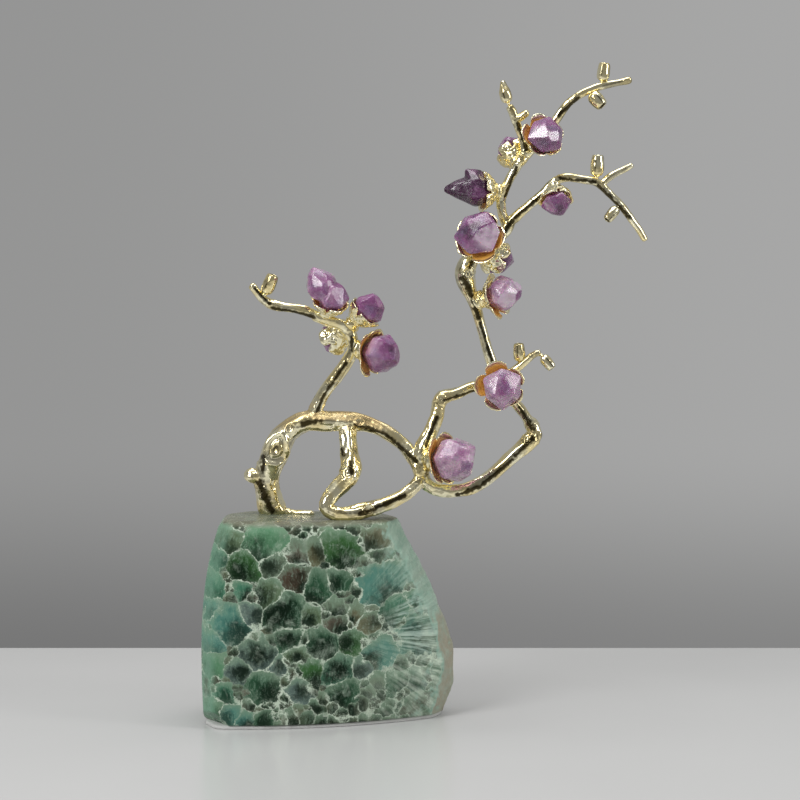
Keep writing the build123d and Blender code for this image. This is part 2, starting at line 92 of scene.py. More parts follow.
# Painted dark reflections on the castings, in millimetres: points (across, height above the block) and width
PAINTED_DARK_REFLECTIONS = (
    (((-37, 18), (-35, 11), (-31, 2)), 1.9), (((-36, 24), (-34, 31)), 1.5), (((-39, 17), (-36, 15)), 1.2),
    (((-14, 49), (-5, 51)), 1.6), (((-7, 54), (-3, 64), (9, 82)), 1.1),
    (((14, 49), (30, 44), (46, 30)), 1.2),
    (((17, 3.5), (27, 7), (40, 12.5)), 1.3), (((11, 30), (12, 24)), 1.0), (((7, 36), (8, 33)), 0.9),
    (((68, 12), (80, 16.5), (97, 30.5)), 1.2), (((99, 33), (108, 42)), 1.3), (((108, 47), (101, 58)), 1.2),
    (((51, 38), (57, 53)), 0.9), (((61, 62), (80, 68)), 0.8), (((88, 77), (80, 103)), 0.8),
    (((71, 127), (75, 118), (79, 106)), 1.6), (((74, 132), (77, 138)), 1.0), (((92, 150), (97, 157)), 1.3),
    (((98, 158), (112, 170)), 1.0), (((93, 170), (99, 185)), 1.0), (((104, 194), (99, 208)), 1.0),
    (((121, 212), (131, 221)), 1.1), (((122, 179), (140, 177)), 1.0), (((142, 175), (158, 159)), 1.3),
    (((-8, 106), (-20, 109), (-30, 111)), 1.1), (((-31, 113), (-39, 121)), 0.8), (((12, 88), (12, 95)), 1.0),
)

# Swollen places on the castings, in millimetres: centre (height above the block), reach and swell
SWELLS = (
    ((-31, 13, 1), 8, 0.8), ((11, -4, 26), 8, 0.5), ((-26, 6, 31), 8, 2.4), ((-29, 8, 16), 7, 1.2),
    ((73, 3, 127), 7, 1.2),
)

# Blossoms: the limb point that carries each, the limb's radius there, the neck, the way it faces, the
# crystal's width, its turn, how dark it is, its seed, which way and how far its petals lean (the painted
# orange glow inside the petals is strongest on that side), how far they all open, and the flats broken on it
# (the way each looks, its depth and how much paler it is painted, a painted highlight)
Blossom = namedtuple("Blossom", "at limb stem facing width turn tone seed lean flare flats")
BLOSSOMS = {
    "left_top": Blossom(
        (-2.5, 1, 105), 2.6, 1.6, (0.3, -0.5, 0.81), 18.0, 20, 0.42, 3, (-1.6, 0, -0.8), 0.4,
        (((-0.36, -0.90, 0.25), 1.3, 0.1), ((0.5, -0.84, 0.2), 1.3, 0.3), ((-0.75, -0.5, 0.4), 1.2, -0.2)),
    ),
    "left_side": Blossom(
        (9.3, 2, 99.8), 2.6, 3.0, (0.72, -0.2, 0.66), 17.5, 5, 0.70, 5, (-1.0, 0, -1.0), 0.4,
        (((0.1, -0.92, 0.36), 1.6, -0.2), ((0.65, -0.6, 0.45), 1.4, 0.4)),
    ),
    "left_low": Blossom(
        (12.7, 3, 89), 2.7, 4.0, (0.83, -0.54, -0.11), 22.0, 35, 0.50, 8, (-6.4, 0, 0.4), 0.8,
        (((0.35, -0.9, 0.25), 2.0, -0.3), ((0.9, -0.4, 0.1), 1.6, 0.35), ((0.3, -0.75, -0.58), 1.6, 0.0)),
    ),
    "left_back": Blossom(
        (9.3, 2, 99.8), 2.6, 2.6, (-0.4, 0.85, -0.33), 18.0, 10, 0.5, 13, (0, 0, 0), 1.2, (),
    ),
    "upper_left": Blossom(
        (92.3, 3.5, 172.2), 2.0, 1.6, (-0.97, -0.22, 0.03), 18.5, 12, 1.35, 21, (0.4, 0, -1.4), 0.6,
        (((-0.45, -0.75, 0.48), 1.2, -0.1), ((-0.45, -0.7, -0.55), 1.2, -0.2),
         ((0.5, -0.5, 0.7), 1.3, -0.4)),
    ),
    "upper_front": Blossom(
        (83, 4, 144.2), 3.3, 2.2, (-0.3, -0.88, 0.36), 25.0, 28, 0.62, 34, (1.3, 0, -2.6), 0.3,
        (((0.40, -0.90, 0.15), 2.6, 0.8), ((-0.72, -0.66, 0.2), 2.0, -0.5), ((-0.25, -0.8, 0.55), 1.2, 0.1),
         ((0.0, -0.75, -0.66), 1.4, 0.35)),
    ),
    "upper_right": Blossom(
        (76.8, 4, 113.5), 2.5, 4.5, (0.83, -0.47, 0.28), 19.0, 40, 0.20, 55, (-2.6, 0, -2.4), 1.6,
        (((0.50, -0.84, 0.21), 2.4, 1.0), ((0.62, -0.60, 0.50), 1.6, 0.9), ((0.35, -0.86, -0.35), 1.6, 1.0),
         ((-0.1, -0.75, 0.65), 1.0, 0.1), ((-0.45, -0.88, 0.1), 1.0, -0.8)),
    ),
    "upper_back": Blossom(
        (79.5, 4, 141.5), 3.6, 1.6, (0.65, 0.68, -0.28), 18.0, 15, 0.9, 89, (0, 0, 0), 0.8, (),
    ),
    "crown_front": Blossom(
        (109.5, 2.8, 197.3), 1.9, 1.6, (0.3, -0.9, 0.3), 20.0, 0, 0.60, 144, (-1.3, 0, 1.2), 0.6,
        (((-0.39, -0.89, 0.22), 2.2, 1.0), ((0.50, -0.86, 0.12), 1.8, 0.7), ((-0.3, -0.8, -0.5), 1.2, -0.4)),
    ),
    "crown_back": Blossom(
        (99.8, 2, 186), 2.0, 1.6, (-0.2, 0.8, 0.57), 16.0, 25, 0.85, 233, (0, 0, 0), 0.4, (),
    ),
    "twig_hanging": Blossom(
        (118.5, 0, 177), 1.8, 1.6, (0.1, -0.54, -0.84), 16.0, 8, 0.50, 377, (-0.4, 0, 0.9), 0.5,
        (((0.1, -0.95, -0.3), 1.0, -0.8), ((-0.6, -0.7, -0.4), 1.0, 0.4)),
    ),
    "ring_top": Blossom(
        (90, 4, 71), 3.3, 1.6, (0.08, -0.98, -0.12), 22.0, 33, 0.04, 610, (-2.0, 0, 1.4), 1.1,
        (((0.4, -0.86, 0.3), 1.5, -0.35), ((-0.45, -0.85, 0.25), 1.5, 0.3), ((0.1, -0.85, -0.5), 1.2, 0.4)),
    ),
    "ring_low": Blossom(
        (49.3, -3, 30), 4.0, 3.4, (0.82, -0.56, 0.1), 25.0, 18, 0.08, 987, (-5.0, 0, 0.6), 0.6,
        (((0.49, -0.85, 0.17), 1.6, 0.35), ((0.75, -0.6, 0.3), 1.6, 0.8), ((0.05, -0.85, 0.52), 1.4, 0.1),
         ((0.3, -0.85, -0.4), 1.2, -0.2)),
    ),
}
PETALS = 5
CUP_DEPTH = 8.0

# Buds: the twig point that carries each, the twig's radius there, the way it points, its width and length,
# and how far its tip is drawn out to a blade
Bud = namedtuple("Bud", "at twig facing width length blade", defaults=(0.0,))
BUDS = {
    "crown_top": Bud((143.5, 0, 227.3), 1.6, (0.12, 0, 0.99), 7.0, 10.0),
    "crown_under": Bud((136.5, 0, 225), 1.5, (0.62, -0.3, -0.72), 8.0, 9.5),
    "crown_left": Bud((95, 1, 216.5), 1.4, (-0.3, 0, 0.95), 6.5, 9.0, 3.0),
    "twig_top": Bud((141, 0, 177), 1.9, (0.05, 0, 1), 7.5, 12.0),
    "twig_under": Bud((153.5, 0, 165.5), 1.5, (-0.62, -0.3, -0.72), 6.0, 9.5),
    "ring_up": Bud((101, 0, 80), 1.7, (-0.05, -0.1, 0.99), 6.5, 10.0),
    "ring_side": Bud((111.5, 0, 87), 1.2, (0.62, -0.2, -0.75), 6.0, 9.0),
    "left_tip": Bud((-34.8, 0, 115.5), 2.0, (0.4, -0.1, 0.91), 7.5, 11.5),
}
BUD_PETALS = 4
STALK_LENGTH = 0.8

# The block's main cells: a tint, and where its cells lie (across, height and reach, in millimetres)
CELL_GAIN = 1.2
STONE_CELLS = (
    ((0.085, 0.205, 0.110), ((-34, 98, 10), (-61, 10, 5), (-60, 34, 5.5))),
    ((0.050, 0.165, 0.100), (
        (-57.5, 90, 5.5), (35, 62, 7.8), (45.5, 66.5, 5), (-61, 75, 5.5), (-45, 74, 4.1),
        (5.7, 31, 7.8), (-54, 20, 5),
    )),
    ((0.070, 0.200, 0.160), (
        (29, 76, 11), (-51, 56, 9.7), (-61, 64, 5), (-62, 47, 5.5), (48, 47, 10), (27, 39, 6),
        (-52.5, 8, 4.6), (-45, 4.5, 4.6),
    )),
    ((0.100, 0.145, 0.130), (
        (-40.5, 62, 5.5), (-37, 40, 8.3), (15, 30.6, 5), (-15.5, 21, 4), (-26.5, 34, 4),
        (-47.5, 31, 5.5), (45.5, 23, 4.6),
    )),
    ((0.036, 0.105, 0.030), ((-43.7, 86.5, 8.3), (6.6, 94.7, 9.2), (11.7, 46, 5.3), (-8, 32, 5.7))),
    ((0.022, 0.072, 0.036), (
        (-5, 75, 6.9), (4.3, 78, 5), (-23, 63, 9.7), (-20, 48, 4.8), (-3, 46, 7.8), (-34, 22, 8.1),
        (8.4, 18.3, 6.6), (36.6, 23, 4.8), (-35, 5.4, 3.2),
    )),
    ((0.090, 0.135, 0.072), (
        (-52.5, 99, 6.9), (27, 90.6, 4.6), (-31, 72.3, 7.4), (-10, 61.3, 4.8), (-15.5, 39.3, 4.4),
    )),
    ((0.140, 0.185, 0.125), ((-29.4, 88.8, 6.9), (4.7, 64, 5.3), (26, 24, 3.5), (21, 19, 2.6))),
    ((0.115, 0.112, 0.062), ((-5.4, 93.4, 5), (26, 100, 6.9), (14, 59.5, 3.7), (21.4, 55.8, 4.4))),
    ((0.105, 0.090, 0.066), ((-15, 92.4, 5), (4.7, 55.4, 5.7))),
    ((0.060, 0.042, 0.028), ((-17.4, 80.5, 6.4), (-38.6, 70, 2.8), (45, 7.7, 4.8), (51, 26, 2.8))),
    ((0.300, 0.400, 0.310), ((39, 99, 5.5), (54, 62, 4))),
)

# Lamps: name, place, width, height and power
LAMPS = (
    ("key", (-0.62, -0.72, 0.80), 0.42, 0.60, 6.8),
    ("over", (0.05, -0.05, 1.05), 0.70, 0.50, 4.0),
    ("side", (0.85, -0.35, 0.50), 0.22, 0.60, 2.2),
)


# Settings

def shade(name, description, default):
    return FloatVectorProperty(
        name=name, description=description, default=default, subtype="COLOR", size=3, min=0.0, max=1.0
    )


def length(name, description, default):
    return FloatProperty(name=name, description=description, default=default, unit="LENGTH", precision=5)


class BlockSettings(PropertyGroup):
    vein: shade("Vein", "Colour of the pale veins between the cells", (0.80, 0.90, 0.75))
    green: shade("Green", "Colour of the deep green cells", (0.026, 0.066, 0.036))
    teal: shade("Teal", "Colour of the blue-green cells", (0.075, 0.20, 0.165))
    smoky: shade("Smoky", "Colour of the brown-grey cells", (0.085, 0.078, 0.055))
    mint: shade("Mint", "Colour of the pale green edges", (0.28, 0.46, 0.34))
    crust: shade("Crust", "Colour of the rough outer crust", (0.52, 0.48, 0.38))
    cell: length("Cell", "Width of a large cell", 0.018)
    skin: length("Skin", "Spacing of the block's mesh", 0.0011)


class GiltSettings(PropertyGroup):
    bright: shade("Bright", "Colour of the plating where it is clean", (0.98, 0.92, 0.65))
    warm: shade("Warm", "Colour of the plating in its warmer patches", (0.96, 0.82, 0.44))
    # the colour of the painted shade in creases and of the painted dark reflections
    painted_shade_and_reflection: shade("Crease", "Colour of the plating down in the creases", (0.030, 0.021, 0.005))
    # the colour of the painted orange glow inside the petals, standing in for light bounced between them
    painted_petal_glow: shade("Petal", "Colour of the plating inside the petals", (1.0, 0.54, 0.10))
    skin: length("Skin", "Spacing of the castings' mesh", 0.00042)
    ridge: length("Ridge", "Depth of the ridges that run along a limb", 0.00055)
    lump: length("Lump", "Depth of the lumps that swell a limb", 0.0009)
    plating: length("Plating", "Thickness that the casting gains after it is smoothed", 0.00065)


class AmethystSettings(PropertyGroup):
    # the pale end of the colour: rims left pale by the painted core shade, painted highlights on the flats,
    # the palest crystals
    pale: shade("Pale", "Colour of the milky rims", (0.70, 0.47, 0.62))
    body: shade("Body", "Colour of the body", (0.335, 0.110, 0.290))
    # the dark end of the colour: painted shade in the cores, and the dark stains
    deep: shade("Deep", "Colour of the dark cores", (0.058, 0.009, 0.048))
    chips: IntProperty(
        name="Chips", description="Flat faces broken on each crystal", default=7, min=1, max=40
    )
    bevel: length("Bevel", "Width of the worn edges", 0.00035)


class StageSettings(PropertyGroup):
    floor: shade("Floor", "Colour of the table", (0.62, 0.62, 0.615))
    wall: shade("Wall", "Colour of the wall behind", (0.34, 0.34, 0.338))
    eye: FloatVectorProperty(
        name="Eye", description="Place of the camera", default=(0.0376, -1.25, 0.265),
        subtype="TRANSLATION", size=3,
    )
    pitch: FloatProperty(
        name="Pitch", description="How far the camera looks down", default=math.radians(4.3), subtype="ANGLE"
    )
    lens: FloatProperty(name="Lens", description="Focal length", default=106.4, subtype="DISTANCE_CAMERA")
    edge: length("Edge", "Where the table ends behind the ornament", 0.21)


# Bench work

def put_down():
    """Leaves edit mode and selects nothing."""
    held = bpy.context.view_layer.objects.active
    if held is not None and held.mode != "OBJECT":
        bpy.ops.object.mode_set(mode="OBJECT")
    bpy.ops.object.select_all(action="DESELECT")


def take_up(piece):
    """Selects one piece and makes it the active one."""
    put_down()
    piece.select_set(True)
    bpy.context.view_layer.objects.active = piece
    return piece


def apply(piece, kind, **values):
    """Adds a modifier to a piece and applies it."""
    take_up(piece)
    modifier = piece.modifiers.new(kind.title(), kind)
    for key, value in values.items():
        setattr(modifier, key, value)
    bpy.ops.object.modifier_apply(modifier=modifier.name)


def cast_from(name, nodes):
    """A piece with the shapes of the named nodes, their loose triangles merged."""
    put_down()
    for node in nodes:
        double = bpy.data.objects.new(name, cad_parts[node].data.copy())
        bpy.context.scene.collection.objects.link(double)
        double.select_set(True)
        bpy.context.view_layer.objects.active = double
    if len(nodes) > 1:
        bpy.ops.object.join()
    piece = bpy.context.view_layer.objects.active
    piece.name = name
    piece.data.name = name
    piece.data.materials.clear()
    bpy.ops.object.mode_set(mode="EDIT")
    bpy.ops.mesh.select_all(action="SELECT")
    bpy.ops.mesh.remove_doubles(threshold=1e-6)
    bpy.ops.object.mode_set(mode="OBJECT")
    return piece


def keep_outer_skin(piece):
    """Drops the closed pockets inside a remeshed piece."""
    mesh = bmesh.new()
    mesh.from_mesh(piece.data)
    mesh.verts.ensure_lookup_table()
    island = [0] * len(mesh.verts)
    sizes = {}
    for start in mesh.verts:
        if island[start.index]:
            continue
        mark = len(sizes) + 1
        island[start.index] = mark
        ring, count = [start], 0
        while ring:
            vertex = ring.pop()
            count += 1
            for edge in vertex.link_edges:
                other = edge.other_vert(vertex)
                if not island[other.index]:
                    island[other.index] = mark
                    ring.append(other)
        sizes[mark] = count
    largest = max(sizes, key=sizes.get)
    spare = [v for v in mesh.verts if island[v.index] != largest]
    bmesh.ops.delete(mesh, geom=spare, context="VERTS")
    mesh.to_mesh(piece.data)
    mesh.free()


def points_of(piece):
    """A piece's points and normals as arrays, in metres."""
    count = len(piece.data.vertices)
    points, normals = np.empty(count * 3), np.empty(count * 3)
    piece.data.vertices.foreach_get("co", points)
    piece.data.vertex_normals.foreach_get("vector", normals)
    return points.reshape(-1, 3), normals.reshape(-1, 3)


def move_points(piece, points):
    piece.data.vertices.foreach_set("co", np.ascontiguousarray(points).ravel())
    piece.data.update()


def mark(piece, name, values):
    """Writes one number for each point of a piece, for its finish to read."""
    attribute = piece.data.attributes.get(name) or piece.data.attributes.new(name, "FLOAT", "POINT")
    attribute.data.foreach_set("value", np.ascontiguousarray(values, dtype=np.float32))


def cloud(points, size, shift=0.0):
    """Smooth noise at points, with lumps of the given size, from about -1 to 1."""
    scaled = points / size + shift
    base = np.floor(scaled).astype(np.int64)
    part = scaled - base
    ease = part ** 3 * (part * (part * 6 - 15) + 10)
    total = np.zeros(len(points))
    for corner in product((0, 1), repeat=3):
        key = (base + corner) @ np.array((73856093, 19349663, 83492791))
        key = (key ^ (key >> 13)) * 1274126177
        slope = np.stack([(key >> shift_by & 255) / 127.5 - 1 for shift_by in (8, 16, 24)], axis=1)
        weight = np.prod(np.where(corner, ease, 1 - ease), axis=1)
        total += weight * np.sum(slope * (part - corner), axis=1)
    return total * 1.3


def settle(piece, slot, material, *nodes):
    """Dresses a finished piece, hangs it on the body and puts it in place of its nodes."""
    piece.data.materials.clear()
    piece.data.materials.append(material)
    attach(piece, BODY)
    if nodes:
        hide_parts(*nodes)
    put_down()


def frame_at(origin, facing, turn=0.0):
    """A matrix whose Z looks along facing, with the same steady X as the solids have."""
    z = Vector(facing).normalized()
    x = Vector((1, 0, 0)) if abs(z.y) > 0.98 else Vector((0, 1, 0)).cross(z)
    x = (x - z * x.dot(z)).normalized()
    turned = Matrix((x, z.cross(x), z)).transposed().to_4x4() @ Matrix.Rotation(math.radians(turn), 4, "Z")
    turned.translation = origin
    return turned


def seat_of(blossom):
    """The frame at a blossom's bowl bottom, in metres."""
    facing = Vector(blossom.facing).normalized()
    at = Vector(blossom.at) + Vector((0, 0, BLOCK_TOP)) + facing * (blossom.limb + blossom.stem)
    return frame_at(at * MM, facing, blossom.turn)


# Finishes

class Finish:
    """A procedural finish: a shader, and the nodes that feed it. Lengths are in millimetres."""

    def __init__(self, name):
        self.material = bpy.data.materials.new(name)
        self.material.use_nodes = True
        self.tree = self.material.node_tree
        self.shader = self.tree.nodes["Principled BSDF"]
        place = self.tree.nodes.new("ShaderNodeTexCoord").outputs["Object"]
        self.place = self.vector("SCALE", place, factor=1000.0)

    def feed(self, socket, value):
        if isinstance(value, bpy.types.NodeSocket):
            self.tree.links.new(value, socket)
        elif isinstance(value, (tuple, list)) and len(value) == 3 and socket.type == "RGBA":
            socket.default_value = (*value, 1.0)
        else:
            socket.default_value = value

    def set(self, **values):
        """Sets the shader's own sockets; an underscore in a name stands for a space."""
        for name, value in values.items():
            self.feed(self.shader.inputs[name.replace("_", " ")], value)

    def vector(self, operation, first, second=None, factor=None):
        node = self.tree.nodes.new("ShaderNodeVectorMath")
        node.operation = operation
        self.feed(node.inputs[0], first)
        if second is not None:
            self.feed(node.inputs[1], second)
        if factor is not None:
            self.feed(node.inputs["Scale"], factor)
        return node.outputs["Value" if operation in ("LENGTH", "DOT_PRODUCT", "DISTANCE") else "Vector"]

    def math(self, operation, first, second=0.5, third=None):
        node = self.tree.nodes.new("ShaderNodeMath")
        node.operation = operation
        self.feed(node.inputs[0], first)
        self.feed(node.inputs[1], second)
        if third is not None:
            self.feed(node.inputs[2], third)
        return node.outputs[0]

    def plus(self, first, second):
        return self.math("ADD", first, second)

    def minus(self, first, second):
        return self.math("SUBTRACT", first, second)

    def times(self, first, second):
        return self.math("MULTIPLY", first, second)

    def gather(self, x, y, z):
        node = self.tree.nodes.new("ShaderNodeCombineXYZ")
        for socket, value in zip(node.inputs, (x, y, z)):
            self.feed(socket, value)
        return node.outputs[0]

    def axes(self, vector):
        node = self.tree.nodes.new("ShaderNodeSeparateXYZ")
        self.feed(node.inputs[0], vector)
        return node.outputs

    def noise(self, size, detail=3.0, rough=0.5, at=None, twist=0.0, colour=False):
        node = self.tree.nodes.new("ShaderNodeTexNoise")
        self.feed(node.inputs["Vector"], at or self.place)
        node.inputs["Scale"].default_value = 1.0 / size
        node.inputs["Detail"].default_value = detail
        node.inputs["Roughness"].default_value = rough
        node.inputs["Distortion"].default_value = twist
        return node.outputs[1 if colour else 0]

    def cells(self, size, feature, at, stray=1.0):
        node = self.tree.nodes.new("ShaderNodeTexVoronoi")
        node.feature = feature
        self.feed(node.inputs["Vector"], at)
        node.inputs["Scale"].default_value = 1.0 / size
        node.inputs["Randomness"].default_value = stray
        return node.outputs

    def span(self, value, low, high, to_low=0.0, to_high=1.0, soft=True):
        node = self.tree.nodes.new("ShaderNodeMapRange")
        node.interpolation_type = "SMOOTHSTEP" if soft else "LINEAR"
        for socket, given in zip(node.inputs[:5], (value, low, high, to_low, to_high)):
            self.feed(socket, given)
        return node.outputs[0]

    def mix(self, share, first, second, blend="MIX"):
        node = self.tree.nodes.new("ShaderNodeMix")
        node.data_type = "RGBA"
        node.blend_type = blend
        self.feed(node.inputs[0], share)
        self.feed(node.inputs[6], first)
        self.feed(node.inputs[7], second)
        return node.outputs[2]

    def choose(self, share, first, second):
        """As mix, for places, which may be below zero."""
        node = self.tree.nodes.new("ShaderNodeMix")
        node.data_type = "VECTOR"
        self.feed(node.inputs[0], share)
        self.feed(node.inputs[4], first)
        self.feed(node.inputs[5], second)
        return node.outputs[1]

    def attribute(self, name):
        node = self.tree.nodes.new("ShaderNodeAttribute")
        node.attribute_name = name
        return node.outputs["Fac"]

    def bump(self, height, depth, normal=None, strength=1.0):
        """A bump of the given depth in millimetres."""
        node = self.tree.nodes.new("ShaderNodeBump")
        node.inputs["Strength"].default_value = strength
        node.inputs["Distance"].default_value = depth * MM
        self.feed(node.inputs["Height"], height)
        if normal is not None:
            self.feed(node.inputs["Normal"], normal)
        return node.outputs[0]


def gilt_finish(settings):
    """Bright gold plating: warmer patches, painted shade in the creases and painted dark reflections, a
    satin arch, and a painted orange glow inside the petals.
    """
    f = Finish("gilt_plating")
    patches = f.span(f.noise(11.0, 2.0), 0.38, 0.62)
    colour = f.mix(patches, tuple(settings.bright), tuple(settings.warm))
    # painted shade in creases and hollows, and painted dark reflections, from the mask the pieces carry
    colour = f.mix(f.times(f.attribute("painted_shade_and_reflection"), 0.97), colour, tuple(settings.painted_shade_and_reflection))
    # painted orange glow inside the petals, standing in for bounced light; there the plating is also less
    # metal and rougher
    colour = f.mix(f.attribute("inside"), colour, tuple(settings.painted_petal_glow))
    x, _, z = f.axes(f.place)
    upward = f.axes(f.tree.nodes.new("ShaderNodeNewGeometry").outputs["Normal"])[2]
    satin = f.times(f.span(upward, -0.1, 0.45), f.times(f.span(x, -34, -22), f.span(x, 28, 44, 1, 0)))
    satin = f.times(satin, f.times(f.span(z, 152, 157), f.span(z, 168, 171, 1, 0)))
    colour = f.mix(f.times(satin, 0.75), colour, (0.66, 0.50, 0.25))
    speck = f.span(f.noise(1.1, 4.0, 0.6), 0.45, 0.75)
    rough = f.span(f.noise(9.0, 3.0), 0.35, 0.7, 0.06, 0.18)
    rough = f.plus(rough, f.times(f.attribute("painted_shade_and_reflection"), 0.12))
    rough = f.plus(rough, f.times(f.attribute("inside"), 0.24))
    rough = f.plus(rough, f.times(satin, 0.26))
    rough = f.plus(rough, f.times(speck, 0.04))
    metal = f.span(f.attribute("inside"), 0.0, 1.0, 1.0, 0.12)
    fine = f.bump(f.noise(0.8, 3.0, 0.6), 0.010)
    worn = f.span(f.noise(7.0, 2.0), 0.5, 0.68)
    pits = f.span(f.cells(1.6, "F1", f.place)["Distance"], 0.0, 0.5)
    dented = f.bump(f.times(f.minus(1.0, pits), worn), 0.05, fine)
    f.set(Base_Color=colour, Metallic=metal, Roughness=rough, Normal=dented)
    return f.material


def amethyst_finish(settings):
    """Milky violet quartz: painted shade in the thick cores that leaves the rims paler, soft clouds, flats
    painted paler as painted highlights, and fine growth lines.
    """
    f = Finish("amethyst_quartz")
    wander = f.vector("ADD", f.place, f.vector("SCALE", f.noise(9.0, 2.0, colour=True), factor=6.0))
    smoke = f.noise(7.0, 2.0, 0.5, at=wander)
    painted_core_shade, flat = f.attribute("painted_core_shade"), f.attribute("flat")
    # the colour runs from pale to deep with the painted core shade, each crystal's own tone and its clouds
    depth = f.plus(f.times(painted_core_shade, 0.55), f.times(f.attribute("tone"), 0.95))
    depth = f.plus(depth, f.span(smoke, 0.3, 0.7, -0.30, 0.30))
    # the flats are painted paler, a painted highlight
    depth = f.minus(depth, f.times(flat, 0.4))
    colour = f.mix(f.span(depth, 0.0, 0.7), tuple(settings.pale), tuple(settings.body))
    colour = f.mix(f.span(depth, 0.6, 1.5), colour, tuple(settings.deep))
    veil = f.span(f.noise(1.5, 4.0, 0.65, at=wander), 0.45, 0.75)
    colour = f.mix(f.times(veil, 0.20), colour, (0.80, 0.64, 0.78))
    stain = f.span(f.noise(2.6, 3.0, 0.6, at=wander), 0.52, 0.72)
    colour = f.mix(f.times(stain, 0.35), colour, tuple(settings.deep))
    cool = f.span(f.noise(5.5, 2.0, 0.5), 0.46, 0.66, 0.0, 0.45)
    cool = f.times(cool, f.span(f.attribute("tone"), 0.6, 1.3, 1.0, 0.1))
    colour = f.mix(cool, colour, (0.30, 0.22, 0.38))
    # painted highlight: the flats whitened in patches
    painted_highlight = f.times(f.span(flat, 0.15, 1.0), f.span(f.noise(3.5, 3.0), 0.3, 0.6, 0.45, 1.0))
    colour = f.mix(f.times(painted_highlight, 0.8), colour, (0.92, 0.80, 0.90))
    rough = f.span(f.noise(2.0, 4.0, 0.6), 0.35, 0.7, 0.12, 0.32)
    rough = f.times(rough, f.span(flat, 0.2, 0.8, 1.0, 0.4))
    worked = f.span(flat, 0.2, 0.8, 1.0, 0.25)
    ripple = f.bump(f.times(f.noise(2.2, 3.0, 0.6), worked), 0.14)
    druse = f.bump(f.times(f.cells(2.4, "F1", wander)["Distance"], worked), 0.08, ripple)
    grain = f.bump(f.noise(0.45, 3.0, 0.6), 0.02, druse)
    f.set(
        Base_Color=colour, Roughness=rough, Normal=grain, IOR=1.54, Transmission_Weight=0.35,
        Subsurface_Weight=0.6, Subsurface_Radius=(0.0040, 0.0018, 0.0038), Subsurface_Scale=1.0,
        Coat_Weight=0.5, Coat_Roughness=0.06,
    )
    return f.material


class StoneCells:
    """Cells that press on each other as bubbles do: each takes the points that it reaches first."""

    def __init__(self, f, at):
        self.f = f
        self.at = f.vector("MULTIPLY", at, (1.0, 0.0, 1.0))
        self.first = self.second = 100.0
        self.home = self.tint = (0.0, 0.0, 0.0)

    def press(self, gap, home, tint, next_gap=None):
        f = self.f
        rest = self.second if next_gap is None else f.math("MINIMUM", self.second, next_gap)
        won = f.math("LESS_THAN", gap, self.first)
        self.second = f.math("MINIMUM", rest, f.math("MAXIMUM", self.first, gap))
        self.first = f.math("MINIMUM", self.first, gap)
        self.home = f.choose(won, self.home, home)
        self.tint = f.mix(won, self.tint, tint)

    def add(self, across, height, reach, tint):
        """One cell, at a given place. Its home keeps its reach in the place of its depth."""
        away = self.f.vector("DISTANCE", self.at, (across, 0.0, height))
        self.press(self.f.minus(away, reach), (across, reach, height), tint)

    def add_net(self, at, width, head_start, tint):
        """A net of cells that lie anywhere. The tint is a function of a cell's three lots."""
        f = self.f
        near, further = f.cells(width, "F1", at), f.cells(width, "F2", at)
        home = f.vector("MULTIPLY", near["Position"], (1.0, 0.0, 1.0))
        home = f.vector("ADD", home, (0.0, 0.5 * width, 0.0))
        gap, next_gap = (
            f.minus(f.times(cell["Distance"], width), head_start) for cell in (near, further)
        )
        self.press(gap, home, tint(f.axes(near["Color"])), next_gap)

    def edge(self):
        """How far the nearest border is."""
        return self.f.times(self.f.minus(self.second, self.first), 0.5)


